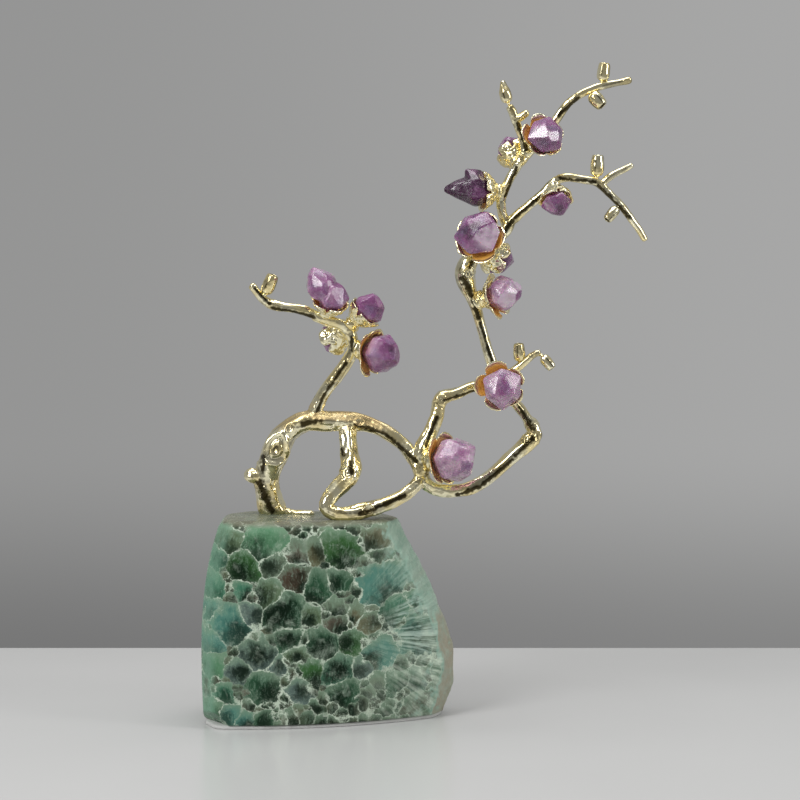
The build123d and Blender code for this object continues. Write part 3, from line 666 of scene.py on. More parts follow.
def fluorite_finish(settings):
    """Polished fluorite: fibrous green cells in a net of pale veins, a fan of fibres, a rough crust."""
    f = Finish("fluorite_slice")
    x, y, z = f.axes(f.place)
    big = f.vector("SUBTRACT", f.noise(16.0, 2.0, colour=True), (0.5, 0.5, 0.5))
    small = f.vector("SUBTRACT", f.noise(4.2, 3.0, 0.6, colour=True), (0.5, 0.5, 0.5))
    bent = f.vector("ADD", f.place, f.vector("SCALE", big, factor=7.0))
    bent = f.vector("ADD", bent, f.vector("SCALE", small, factor=4.6))
    size = settings.cell * 1000.0
    wave = f.span(f.noise(24.0, 2.0), 0.25, 0.75, -24.0, 24.0, soft=False)

    def mixed(lot):
        tint = f.mix(f.span(lot[0], 0.2, 0.8), (0.046, 0.072, 0.040), (0.130, 0.150, 0.100))
        tint = f.mix(f.span(lot[1], 0.5, 0.75, 0.0, 0.8), tint, (0.120, 0.130, 0.075))
        return f.mix(f.span(lot[2], 0.65, 0.85, 0.0, 0.8), tint, tuple(settings.smoky))

    def green(lot):
        tint = f.mix(f.span(lot[0], 0.2, 0.8), tuple(settings.green), tuple(settings.teal))
        return f.mix(f.span(lot[1], 0.5, 0.75, 0.0, 0.8), tint, (0.105, 0.125, 0.062))

    behind = f.minus(y, f.span(x, -66.0, 66.0, -29.0, -4.0, soft=False))
    behind = f.span(behind, 8.0, 38.0, 0.0, 24.0, soft=False)
    cells = StoneCells(f, bent)
    cells.add_net(bent, 0.40 * size, 1.2, mixed)
    cells.add_net(f.vector("ADD", bent, (300.0, 0.0, 0.0)), size, f.minus(behind, 4.0), green)
    for tint, places in STONE_CELLS:
        for across, height, reach in places:
            cells.add(across, height, reach, tuple(CELL_GAIN * part for part in tint))
    edge = cells.edge()
    reach = f.axes(cells.home)[1]
    inner = f.vector("SUBTRACT", cells.at, f.vector("MULTIPLY", cells.home, (1.0, 0.0, 1.0)))

    upright = f.noise(1.2, 4.0, 0.65, at=f.vector("MULTIPLY", bent, (1.0, 1.0, 0.16)))
    spread = f.vector("SUBTRACT", f.place, (2.0, 0.0, 50.0))
    bearing = f.math("ARCTAN2", f.axes(spread)[2], f.axes(spread)[0])
    spread = f.gather(f.times(bearing, 30.0), f.times(y, 0.08), f.times(f.vector("LENGTH", spread), 0.07))
    lying = f.noise(1.1, 3.0, 0.6, at=f.vector("ADD", spread, f.vector("SCALE", big, factor=1.5)))
    laid = f.span(f.vector("DISTANCE", cells.at, (48.0, 0.0, 52.0)), 10.0, 21.0, 1.0, 0.0)
    fibres = f.plus(upright, f.times(laid, f.minus(lying, upright)))
    stir = f.span(f.noise(4.5, 3.0, 0.55), 0.25, 0.75, -0.35, 0.35, soft=False)
    stir = f.plus(stir, f.span(fibres, 0.25, 0.75, -0.24, 0.24, soft=False))
    rise = f.plus(f.math("DIVIDE", f.axes(inner)[2], reach), stir)
    chance = f.noise(3.1, 1.0, 0.5, at=cells.home, colour=True)
    shift = f.vector("MULTIPLY", f.vector("SUBTRACT", chance, (0.5, 0.5, 0.38)), (5.0, 0.0, 4.4))
    sunk = f.vector("ADD", inner, f.vector("SCALE", shift, factor=reach))
    sunk = f.plus(f.math("DIVIDE", f.vector("LENGTH", sunk), reach), stir)
    depth = f.span(f.axes(chance)[1], 0.3, 0.6, 0.85, 1.0)
    depth = f.times(depth, f.span(x, -64.0, -42.0, 0.6, 1.0))
    cell = f.mix(f.times(f.span(sunk, 0.35, 1.7, 1.0, 0.0), depth), cells.tint, (0.003, 0.012, 0.005))
    cell = f.mix(f.span(rise, 0.25, 1.3, 0.0, 0.5), cell, (0.20, 0.33, 0.225))
    threads = f.times(f.span(fibres, 0.5, 0.75, 0.0, 0.6), f.span(sunk, 0.2, 1.2, 0.25, 1.0))
    cell = f.mix(threads, cell, (0.24, 0.36, 0.27))
    cell = f.mix(f.times(laid, f.span(fibres, 0.42, 0.62, 0.0, 0.8)), cell, (0.36, 0.50, 0.44))

    grain = f.span(f.noise(0.7, 3.0, 0.7), 0.25, 0.75, -0.45, 0.45, soft=False)
    drift = f.span(f.noise(3.4, 3.0, 0.6), 0.25, 0.75, -0.42, 0.42, soft=False)
    fuzzy = f.plus(edge, f.plus(grain, drift))
    strong = f.span(f.noise(9.0, 3.0), 0.36, 0.57, 0.15, 1.0)
    vein = f.times(f.span(fuzzy, -0.1, 0.5, 1.0, 0.0), strong)
    glow = f.span(fuzzy, 0.0, 3.0, 0.6, 0.0)
    glow = f.times(glow, f.span(rise, -0.2, 0.6, 0.12, 1.0))
    colour = f.mix(glow, cell, (0.205, 0.305, 0.210))
    crumbs = f.span(f.noise(0.6, 3.0, 0.7), 0.52, 0.68)
    crumbs = f.times(crumbs, f.span(f.noise(8.0, 3.0, 0.6), 0.46, 0.64, 0.0, 0.42))
    crumbs = f.times(crumbs, f.span(edge, 0.5, 3.0, 1.0, 0.15))
    vein = f.math("MAXIMUM", vein, crumbs)
    pale = f.mix(f.noise(5.0, 3.0), tuple(settings.vein), (0.38, 0.48, 0.36))
    colour = f.mix(vein, colour, pale)
    haze = f.times(f.span(x, 8.0, 62.0), f.span(z, 12.0, 62.0, 0.95, 0.6))
    haze = f.times(haze, f.span(f.noise(7.0, 4.0, 0.6), 0.32, 0.66, 0.25, 1.0))
    haze = f.math("MAXIMUM", haze, f.span(f.noise(10.0, 5.0, 0.7, at=bent), 0.5, 0.74, 0.0, 0.4))
    colour = f.mix(haze, colour, f.mix(f.span(lying, 0.3, 0.7), (0.19, 0.30, 0.21), (0.72, 0.84, 0.69)))

    normal = f.tree.nodes.new("ShaderNodeNewGeometry").outputs["Normal"]
    facing = f.axes(normal)
    rim = f.times(f.span(facing[0], -0.9, -0.25, 0.85, 0.0), f.span(z, 2.0, 60.0, 1.0, 0.6))
    rim = f.times(rim, f.span(f.noise(6.0, 4.0), 0.3, 0.6, 0.4, 1.0))
    colour = f.mix(rim, colour, f.mix(upright, tuple(settings.mint), (0.10, 0.27, 0.17)))
    turned = f.plus(facing[0], f.span(f.noise(5.0, 4.0, 0.6), 0.25, 0.75, -0.12, 0.12, soft=False))
    edged = f.span(turned, 0.48, 0.62)
    colour = f.mix(f.times(edged, 0.8), colour, f.mix(lying, (0.22, 0.42, 0.32), (0.50, 0.66, 0.56)))
    crusty = f.times(f.span(turned, 0.6, 0.8), f.span(f.plus(z, wave), 45.0, 75.0, 1.0, 0.15))
    crusty = f.math("MAXIMUM", crusty, f.span(facing[1], 0.35, 0.75, 0.0, 0.55))
    crusty = f.times(crusty, f.span(f.noise(7.0, 5.0, 0.65), 0.3, 0.6, 0.55, 1.0))
    crust = f.mix(f.noise(3.0, 5.0, 0.7), tuple(settings.crust), (0.27, 0.27, 0.20))
    colour = f.mix(crusty, colour, crust)
    top = f.span(facing[2], 0.5, 0.9, 0.0, 0.8)
    dust = f.noise(9.0, 5.0, 0.65, at=f.vector("MULTIPLY", f.place, (0.35, 1.0, 1.0)))
    dusty = f.mix(dust, (0.08, 0.10, 0.065), (0.30, 0.28, 0.21))
    colour = f.mix(top, colour, dusty)

    rough = f.span(f.noise(4.0, 4.0), 0.3, 0.7, 0.16, 0.34)
    rough = f.plus(rough, f.times(vein, 0.16))
    rough = f.math("MAXIMUM", rough, f.times(crusty, 0.75))
    raised = f.bump(vein, 0.06)
    gritty = f.bump(f.noise(1.4, 5.0, 0.7), 0.10, raised, strength=0.6)
    f.set(Base_Color=colour, Roughness=rough, Normal=gritty, IOR=1.434, Specular_IOR_Level=0.12)
    return f.material


def felt_finish():
    """Off-white felt: matted fibres with a soft nap."""
    f = Finish("pad_felt")
    fibres = f.noise(0.5, 5.0, 0.7, twist=1.5)
    colour = f.mix(fibres, (0.60, 0.60, 0.58), (0.80, 0.80, 0.78))
    f.set(
        Base_Color=colour, Roughness=0.95, Normal=f.bump(fibres, 0.25), Sheen_Weight=0.4,
        Sheen_Roughness=0.5,
    )
    return f.material


def brass_finish():
    """Drawn brass: fine lines along the stud."""
    f = Finish("stud_brass")
    lines = f.noise(0.25, 3.0, at=f.vector("MULTIPLY", f.place, (1.0, 1.0, 0.05)))
    colour = f.mix(lines, (0.60, 0.42, 0.16), (0.74, 0.56, 0.26))
    rough = f.span(lines, 0.3, 0.7, 0.22, 0.4)
    f.set(Base_Color=colour, Metallic=1.0, Roughness=rough, Normal=f.bump(lines, 0.02))
    return f.material


def resin_finish():
    """Clear glue, a little yellow, with small bubbles."""
    f = Finish("glue_resin")
    bubbles = f.span(f.cells(1.3, "F1", f.place)["Distance"], 0.0, 0.28, 1.0, 0.0)
    colour = f.mix(bubbles, (0.80, 0.66, 0.40), (0.92, 0.86, 0.72))
    rough = f.span(f.noise(2.0), 0.3, 0.7, 0.08, 0.2)
    f.set(Base_Color=colour, Roughness=rough, Normal=f.bump(bubbles, 0.08), IOR=1.5, Transmission_Weight=0.6)
    return f.material


# Pieces

class ORNAMENT_OT_block(Operator):
    """Makes the fluorite block: a polished front, a rough crust on its other sides, a chipped corner"""

    bl_idname = "ornament.block"
    bl_label = "Fluorite block"

    def execute(self, context):
        settings = context.scene.ornament_block
        piece = cast_from("fluorite_block", ("stone_base",))
        apply(piece, "REMESH", mode="VOXEL", voxel_size=settings.skin)
        apply(piece, "SMOOTH", factor=0.5, iterations=4)
        points, normals = points_of(piece)
        crust = np.clip((normals[:, 0] - 0.35) / 0.4, 0, 1)
        crust += 0.6 * np.clip((normals[:, 1] - 0.3) / 0.4, 0, 1)
        top = np.clip((normals[:, 2] - 0.6) / 0.3, 0, 1)
        under = np.clip((-normals[:, 2] - 0.5) / 0.3, 0, 1)
        crust = np.clip(crust, 0, 1) * (1 - under) * (1 - top)
        crags = cloud(points, 0.011) * 0.9 + cloud(points, 0.0045, 7.0) * 0.5
        crags += cloud(points, 0.0019, 3.0) * 0.25
        polish = cloud(points, 0.024, 11.0) * 0.35
        lift = (crags * crust * 1.1 + polish * (1 - under) * (1 - 0.8 * top) + crags * top * 0.12) * MM
        lift -= 0.9 * MM * crust
        move_points(piece, points + normals * lift[:, None])
        low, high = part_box("stone_base")
        take_up(piece)
        bpy.ops.object.mode_set(mode="EDIT")
        bpy.ops.mesh.select_all(action="SELECT")
        bpy.ops.mesh.bisect(
            plane_co=(low.x + 0.0045, low.y + 0.012, low.z + 0.004), plane_no=(-0.62, -0.42, -0.66),
            use_fill=True, clear_outer=True,
        )
        bpy.ops.object.mode_set(mode="OBJECT")
        bpy.ops.object.shade_smooth_by_angle(angle=math.radians(40))
        settle(piece, "fluorite", fluorite_finish(settings), "stone_base")
        return {"FINISHED"}


class ORNAMENT_OT_pad(Operator):
    """Makes the felt pad under the block"""

    bl_idname = "ornament.pad"
    bl_label = "Felt pad"

    def execute(self, context):
        piece = cast_from("felt_pad", ("base_pad",))
        apply(piece, "REMESH", mode="VOXEL", voxel_size=0.0007)
        apply(piece, "SMOOTH", factor=0.5, iterations=3)
        points, normals = points_of(piece)
        side = 1 - np.abs(normals[:, 2])
        move_points(piece, points + normals * (cloud(points, 0.0016) * 0.22 * MM * side)[:, None])
        take_up(piece)
        bpy.ops.object.shade_smooth()
        settle(piece, "felt", felt_finish(), "base_pad")
        return {"FINISHED"}


def limb_runs(points, normals, reach):
    """The way a limb runs at each point: the one that its neighbours' normals all stand across."""
    picks = np.arange(0, len(points), 24)
    tree = kdtree.KDTree(len(picks))
    for slot, index in enumerate(picks):
        tree.insert(points[index], slot)
    tree.balance()
    runs = np.empty((len(picks), 3))
    for slot, index in enumerate(picks):
        near = [found[1] for found in tree.find_range(points[index], reach)]
        across = normals[picks[near]]
        runs[slot] = np.linalg.eigh(across.T @ across)[1][:, 0]
    nearest = np.array([tree.find(p)[1] for p in points])
    return runs[nearest]


def streaks(points, runs, size, stretch, shift):
    """Noise drawn out along the limbs, spread evenly about 0."""
    steps = np.linspace(-stretch, stretch, max(5, int(3.2 * stretch / size)))
    total = sum(cloud(points + runs * step, size, shift) for step in steps)
    return total / total.std()


def near_any(points, places):
    """How near each point is to any of the places, from 0 to 1."""
    share = np.zeros(len(points))
    for (x, y, height), reach in places:
        away = np.linalg.norm(points / MM - np.array((x, y, BLOCK_TOP + height)), axis=1)
        share = np.maximum(share, np.clip(1.6 - away / reach, 0, 1))
    return share


def cut_scars(points, normals):
    """How far each point moves for the scars, and how dark its painted shade gets: raised rings round a
    hollow.
    """
    lift = np.zeros(len(points))
    dark = np.zeros(len(points))
    for scar in SCARS:
        x, y, height = scar.at
        offset = points / MM - np.array((x, y, BLOCK_TOP + height))
        slant = math.radians(scar.slant)
        along = offset[:, 2] * math.cos(slant) + offset[:, 0] * math.sin(slant)
        aside = offset[:, 0] * math.cos(slant) - offset[:, 2] * math.sin(slant)
        reach = np.sqrt((aside / scar.width) ** 2 + (along / scar.height) ** 2)
        near = (np.abs(offset[:, 1]) < 6.0) * np.clip(-normals[:, 1] * 1.6 + 0.4, 0, 1)
        ring = np.exp(-(((reach - 1.0) / 0.20) ** 2))
        hollow = np.exp(-((reach / 0.8) ** 6))
        inner = np.exp(-(((reach - 0.42) / 0.16) ** 2))
        lift += near * scar.depth * (0.8 * ring - 0.75 * hollow + 0.7 * inner)
        # painted shade in the hollow, left off the raised middle
        shadow = np.clip(1.3 * hollow - 1.5 * inner - 0.4, 0, 1) * min(1.0, scar.depth)
        dark = np.maximum(dark, near * shadow)
    return lift * MM, dark


def paint_dark_reflections(points, normals):
    """How dark each point is painted under the streaks of painted dark reflection, from 0 to 1. Their edges
    wander.
    """
    dark = np.zeros(len(points))
    flat = points[:, (0, 2)] / MM - np.array((0.0, BLOCK_TOP))
    wander = 1.0 + 0.9 * cloud(points, 0.0026, 8.0) + 0.5 * cloud(points, 0.0011, 3.0)
    front = np.clip(0.35 - normals[:, 1] * 1.5, 0, 1)
    for route, width in PAINTED_DARK_REFLECTIONS:
        for start, stop in zip(np.array(route, float), np.array(route[1:], float)):
            run = stop - start
            share = np.clip((flat - start) @ run / (run @ run), 0, 1)
            away = np.linalg.norm(flat - start - share[:, None] * run, axis=1)
            dark = np.maximum(dark, np.clip(2.0 * (1 - away / (1.35 * width * wander.clip(0.2))), 0, 1))
    return dark * front


class ORNAMENT_OT_castings(Operator):
    """Makes the two branch castings: limbs run together at the knots, with ridges, lumps and scars"""

    bl_idname = "ornament.castings"
    bl_label = "Gilt branch castings"

    def execute(self, context):
        settings = context.scene.ornament_gilt
        material = gilt_finish(settings)
        for name, limbs, share in CASTINGS:
            piece = cast_from(name, limbs)
            apply(piece, "REMESH", mode="VOXEL", voxel_size=settings.skin * (0.8 if share < 1 else 1.0))
            keep_outer_skin(piece)
            apply(piece, "SMOOTH", factor=0.5, iterations=12 if share == 1 else 8)
            points, normals = points_of(piece)
            points += normals * settings.plating
            runs = limb_runs(points, normals, 0.0048)
            ridges = streaks(points, runs, 0.0040, 0.016, 5.0)
            bands = streaks(points, runs, 0.0030, 0.012, 9.0)
            wrinkled = near_any(points, WRINKLES)
            knobs = cloud(points, 0.0042, 4.0) + 0.3 * cloud(points, 0.0019, 1.0)
            patches = np.clip(cloud(points, 0.012, 6.0) * 2.4 + 0.45, 0, 1)
            # painted shade along the grooves that the ridges leave
            painted_shade_and_reflection = np.exp(-((ridges / 0.16) ** 2)) * patches
            # painted dark reflection in bands on the sides that face down and to the front
            painted_dark_reflection = np.clip((bands - 0.45 * normals[:, 2] - 0.15 * normals[:, 1] - 0.95) / 0.3, 0, 1)
            hollow, dark = cut_scars(points, normals)
            dark = np.maximum(dark, paint_dark_reflections(points, normals))
            # painted shade and painted dark reflections gathered in one mask, which also sinks the surface a
            # little
            painted_shade_and_reflection = np.maximum(np.maximum(0.5 * painted_shade_and_reflection, 0.5 * painted_dark_reflection), dark)
            lift = settings.ridge * share * (0.30 * ridges - 0.3 * painted_shade_and_reflection)
            lift += settings.lump * share * (0.45 * cloud(points, 0.013, 2.0) + 0.7 * knobs * wrinkled)
            lift += hollow
            for place, reach, swell in SWELLS:
                lift += near_any(points, ((place, reach),)) * swell * MM
            clear = np.clip((points[:, 2] / MM - BLOCK_TOP - 0.3) / 1.5, 0, 1)
            move_points(piece, points + normals * (lift * clear)[:, None])
            apply(piece, "SMOOTH", factor=0.5, iterations=2)
            # painted shade also in the hollows between the knobs of the wrinkled places
            mark(piece, "painted_shade_and_reflection", np.clip(painted_shade_and_reflection - np.minimum(knobs, 0) * wrinkled, 0, 1))
            mark(piece, "inside", np.zeros(len(points)))
            take_up(piece)
            bpy.ops.object.shade_smooth()
            settle(piece, "gilt", material, *limbs)
        return {"FINISHED"}


class ORNAMENT_OT_petals(Operator):
    """Makes the thirteen petal cups: thin crumpled petals with curled rims"""

    bl_idname = "ornament.petals"
    bl_label = "Petal cups"

    def execute(self, context):
        material = bpy.data.materials["gilt_plating"]
        for name, blossom in BLOSSOMS.items():
            piece = cast_from("petals_" + name, ("cup_" + name,))
            apply(piece, "REMESH", mode="VOXEL", voxel_size=0.0003)
            keep_outer_skin(piece)
            apply(piece, "SMOOTH", factor=0.5, iterations=3)
            points, normals = points_of(piece)
            seat = np.array(seat_of(blossom).inverted())
            local = (points @ seat[:3, :3].T + seat[:3, 3]) / MM
            way = normals @ seat[:3, :3].T
            radius = np.hypot(local[:, 0], local[:, 1]) + 1e-6
            outward = np.stack((local[:, 0] / radius, local[:, 1] / radius, np.zeros(len(radius))), axis=1)
            height = np.clip((local[:, 2] - 2.5) / (CUP_DEPTH - 2.5), 0, 1)
            bearing = np.arctan2(local[:, 1], local[:, 0])
            middle = 0.5 + 0.5 * np.cos(bearing * PETALS)
            level = np.full(len(bearing), blossom.seed * 0.37)
            around = np.stack((np.cos(bearing), np.sin(bearing), level), axis=1)
            lean = cloud(around, 0.7)
            spread = 0.12 * height * np.sin(bearing * PETALS)
            local[:, 0], local[:, 1] = radius * np.cos(bearing + spread), radius * np.sin(bearing + spread)
            opened = seat[:3, :3] @ np.array(blossom.lean)
            painted_glow_share = outward @ opened / (np.linalg.norm(opened) + 1e-6)
            if not any(blossom.lean):
                painted_glow_share += 1.0
            opened = (np.clip(outward @ opened, 0, None) + blossom.flare) * (0.6 + 0.4 * middle)
            curl = height ** 2 * (0.1 + 0.45 * middle + 0.5 * lean) + height ** 1.4 * opened
            local += outward * curl[:, None]
            local[:, 2] += height * (0.8 * lean + 0.5 * middle - 0.2 - 0.25 * opened)
            neck = -0.5 * blossom.stem
            collar = np.exp(-(((local[:, 2] - neck) / (1.4 + 0.6 * blossom.stem)) ** 2))
            collar *= np.clip((radius - 1.0) / 0.6, 0, 1) * np.clip(1.7 - 0.28 * radius, 0, 1)
            collar *= (0.6 + 0.4 * blossom.stem) * (1.5 + 1.0 * cloud(points, 0.0024, blossom.seed + 9))
            local += outward * collar[:, None]
            body = np.clip((radius - 2.0) / 1.5, 0, 1)
            facing_in = -np.sum(way * outward, axis=1) + 0.55 * way[:, 2]
            crumple = cloud(points, 0.0027, blossom.seed) * 0.62
            crumple += cloud(points, 0.0012, blossom.seed + 5) * 0.3
            crumple *= 1 - 0.35 * np.clip(facing_in, 0, 1)
            local += way * ((crumple + 0.12) * body)[:, None]
            back = np.array(seat_of(blossom))
            move_points(piece, (local * MM) @ back[:3, :3].T + back[:3, 3])
            apply(piece, "SMOOTH", factor=0.5, iterations=1)
            # the painted orange glow inside the petals: strongest on the side they lean open to, none near
            # the rim
            painted_glow_share = 0.05 + 0.95 * np.clip(0.4 + 1.4 * painted_glow_share, 0, 1)
            painted_glow_share *= np.clip((7.5 - local[:, 2]) / 1.2, 0.0, 1)
            mark(piece, "inside", np.clip((facing_in - 0.1) / 0.4, 0, 1) * painted_glow_share)
            # painted shade in the dents of the crumpled petals
            mark(piece, "painted_shade_and_reflection", np.clip(-crumple * 0.7, 0, 0.3))
            take_up(piece)
            bpy.ops.object.shade_smooth()
            settle(piece, "gilt", material, "cup_" + name)
        return {"FINISHED"}


class ORNAMENT_OT_crystals(Operator):
    """Makes the thirteen amethysts: rounded lumps with broken faces and worn edges"""

    bl_idname = "ornament.crystals"
    bl_label = "Amethysts"

    def execute(self, context):
        settings = context.scene.ornament_amethyst
        material = amethyst_finish(settings)
        for name, blossom in BLOSSOMS.items():
            draw = random.Random(blossom.seed)
            piece = cast_from("crystal_" + name, ("amethyst_" + name,))
            apply(piece, "REMESH", mode="VOXEL", voxel_size=0.0005)
            apply(piece, "SMOOTH", factor=0.5, iterations=10)
            seat = seat_of(blossom)
            middle = seat @ Vector((0, 0, CUP_DEPTH * MM))
            points, normals = points_of(piece)
            bare = np.clip((points - np.array(middle)) @ np.array(seat.col[2][:3]) / MM + 0.5, 0, 1.5) / 1.5
            growth = 0.2 + 0.75 * bare + 0.5 * cloud(points, 0.007, blossom.seed)
            points += normals * (growth * MM)[:, None]
            broken = np.zeros(len(points))
            for way, depth, pale in blossom.flats:
                way = np.array(Vector(way).normalized())
                off = (points - np.array(middle)) @ way / MM
                past = np.logaddexp(0, (off - off.max() + depth) / 0.14) * 0.14
                points -= way * (past * MM)[:, None]
                # each broken face is marked for the finish to paint it paler, a painted highlight
                broken += (pale - broken) * np.clip(past / 0.35, 0, 1)
            move_points(piece, points)
            mark(piece, "flat", broken)
            take_up(piece)
            bpy.ops.object.mode_set(mode="EDIT")
            for _ in range(settings.chips):
                tilt = math.radians(draw.uniform(15, 95))
                bearing = draw.uniform(0, 2 * math.pi)
                way = seat.to_3x3() @ Vector(
                    (math.sin(tilt) * math.cos(bearing), math.sin(tilt) * math.sin(bearing), math.cos(tilt))
                )
                furthest = max((p - middle).dot(way) for p in points_of_edit(piece))
                cut = furthest - draw.uniform(0.2, 0.7) * MM
                bpy.ops.mesh.select_all(action="SELECT")
                bpy.ops.mesh.bisect(
                    plane_co=middle + way * cut, plane_no=way, use_fill=True, clear_outer=True,
                    threshold=1e-6,
                )
            bpy.ops.object.mode_set(mode="OBJECT")
            apply(
                piece, "BEVEL", width=settings.bevel, segments=2, limit_method="ANGLE",
                angle_limit=math.radians(14), use_clamp_overlap=True,
            )
            points, normals = points_of(piece)
            inverse = np.array(seat.inverted())
            local = (points @ inverse[:3, :3].T + inverse[:3, 3]) / MM
            aside = np.hypot(local[:, 0], local[:, 1]) / (blossom.width / 2)
            # painted core shade: darker near the crystal's axis and towards its tip, leaving the rims paler
            mark(piece, "painted_core_shade", np.clip(1.0 - aside * 1.05, 0, 1) * np.clip((local[:, 2] - 4) / 8, 0, 1))
            mark(piece, "tone", np.full(len(points), blossom.tone))
            take_up(piece)
            bpy.ops.object.shade_smooth_by_angle(angle=math.radians(24))
            settle(piece, "amethyst", material, "amethyst_" + name)
        return {"FINISHED"}


def points_of_edit(piece):
    """The points of a piece that is in edit mode."""
    return [v.co.copy() for v in bmesh.from_edit_mesh(piece.data).verts]


class ORNAMENT_OT_buds(Operator):
    """Makes the eight closed buds: one is modelled and the others are its copies"""

    bl_idname = "ornament.buds"
    bl_label = "Buds"

    def execute(self, context):
        material = bpy.data.materials["gilt_plating"]
        model = self.model_bud()
        for name, bud in BUDS.items():
            facing = Vector(bud.facing).normalized()
            foot = Vector(bud.at) + Vector((0, 0, BLOCK_TOP)) + facing * (bud.twig * 0.6)
            reach = bud.length + STALK_LENGTH + bud.twig * 0.4
            piece = model.copy()
            piece.data = model.data.copy()
            piece.name = piece.data.name = "gilt_bud_" + name
            context.scene.collection.objects.link(piece)
            points, _ = points_of(piece)
            x, y, z = points.T
            bearing = np.arctan2(y, x) * BUD_PETALS / (2 * math.pi)
            seam = np.clip(1.3 - np.abs(bearing % 1.0 - 0.5) / 0.09, 0, 1) * np.clip((z - 0.28) / 0.15, 0, 1)
            mouth = np.clip((z - 0.80) / 0.06, 0, 1) * (np.hypot(x, y) < 0.27)
            drawn = np.clip((z - 0.72) / 0.25, 0, 1)[:, None] * (bud.blade > 0)
            narrowed = points * (1 - drawn * np.array((0.45, 0.75, 0)))
            move_points(piece, narrowed + drawn * np.array((0.12, 0, bud.blade / reach)))
            size = Matrix.Diagonal((bud.width * MM, bud.width * MM, reach * MM, 1))
            piece.data.transform(frame_at(foot * MM, facing, 24) @ size)
            points, normals = points_of(piece)
            move_points(piece, points + normals * (cloud(points, 0.0019, bud.length) * 0.16 * MM)[:, None])
            mark(piece, "inside", np.zeros(len(points)))
            # painted shade in the dents, in the grooves between the closed petals and in the mouth at the
            # tip
            dents = np.clip(-cloud(points, 0.0024, 3.0) - 0.2, 0, 0.5)
            mark(piece, "painted_shade_and_reflection", np.maximum(dents, np.maximum(seam, mouth)))
            take_up(piece)
            bpy.ops.object.shade_smooth()
            settle(piece, "gilt", material, "bud_" + name)
        bpy.data.objects.remove(model)
        return {"FINISHED"}

    def model_bud(self):
        """A bud one unit wide and one long: a stalk, a knuckle, closed petals and a small mouth."""
        put_down()
        bpy.ops.mesh.primitive_cylinder_add(vertices=20, radius=0.13, depth=0.13, location=(0, 0, 0.065))
        model = bpy.context.view_layer.objects.active
        bpy.ops.object.transform_apply(location=True, rotation=True, scale=True)
        bpy.ops.object.mode_set(mode="EDIT")
        rings = (
            (0.02, 0.21), (0.03, 0.33), (0.06, 0.43), (0.12, 0.49), (0.18, 0.50), (0.17, 0.48), (0.13, 0.45),
            (0.08, 0.42), (0.05, 0.37), (0.01, 0.29), (-0.05, 0.24), (-0.12, 0.17), (-0.02, 0.05),
        )
        bpy.ops.mesh.select_all(action="DESELECT")
        mesh = bmesh.from_edit_mesh(model.data)
        for face in mesh.faces:
            face.select_set(face.calc_center_median().z > 0.12)
        bmesh.update_edit_mesh(model.data)
        radius = 0.13
        for rise, wide in rings:
            bpy.ops.mesh.extrude_region_move(TRANSFORM_OT_translate={"value": (0, 0, rise)})
            bpy.ops.transform.resize(value=(wide / radius, wide / radius, 1.0))
            radius = wide
        bpy.ops.mesh.select_all(action="DESELECT")
        mesh = bmesh.from_edit_mesh(model.data)
        for vertex in mesh.verts:
            bearing = math.atan2(vertex.co.y, vertex.co.x)
            seam = abs((bearing * BUD_PETALS / (2 * math.pi)) % 1.0 - 0.5) < 0.06
            vertex.select_set(seam and vertex.co.z > 0.22)
        bmesh.update_edit_mesh(model.data)
        bpy.ops.transform.resize(value=(0.74, 0.74, 1.0))
        bpy.ops.object.mode_set(mode="OBJECT")
        apply(model, "SUBSURF", levels=2, render_levels=2)
        return model


class ORNAMENT_OT_fixings(Operator):
    """Finishes the brass studs and the glue beds, which keep their solids"""

    bl_idname = "ornament.fixings"
    bl_label = "Studs and glue"

    def execute(self, context):
        brass, resin = brass_finish(), resin_finish()
        for node, material in (("trunk_stud", brass), ("root_stud", brass), ("glue_beds", resin)):
            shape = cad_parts[node]
            shape.data.materials.clear()
            shape.data.materials.append(material)
        return {"FINISHED"}


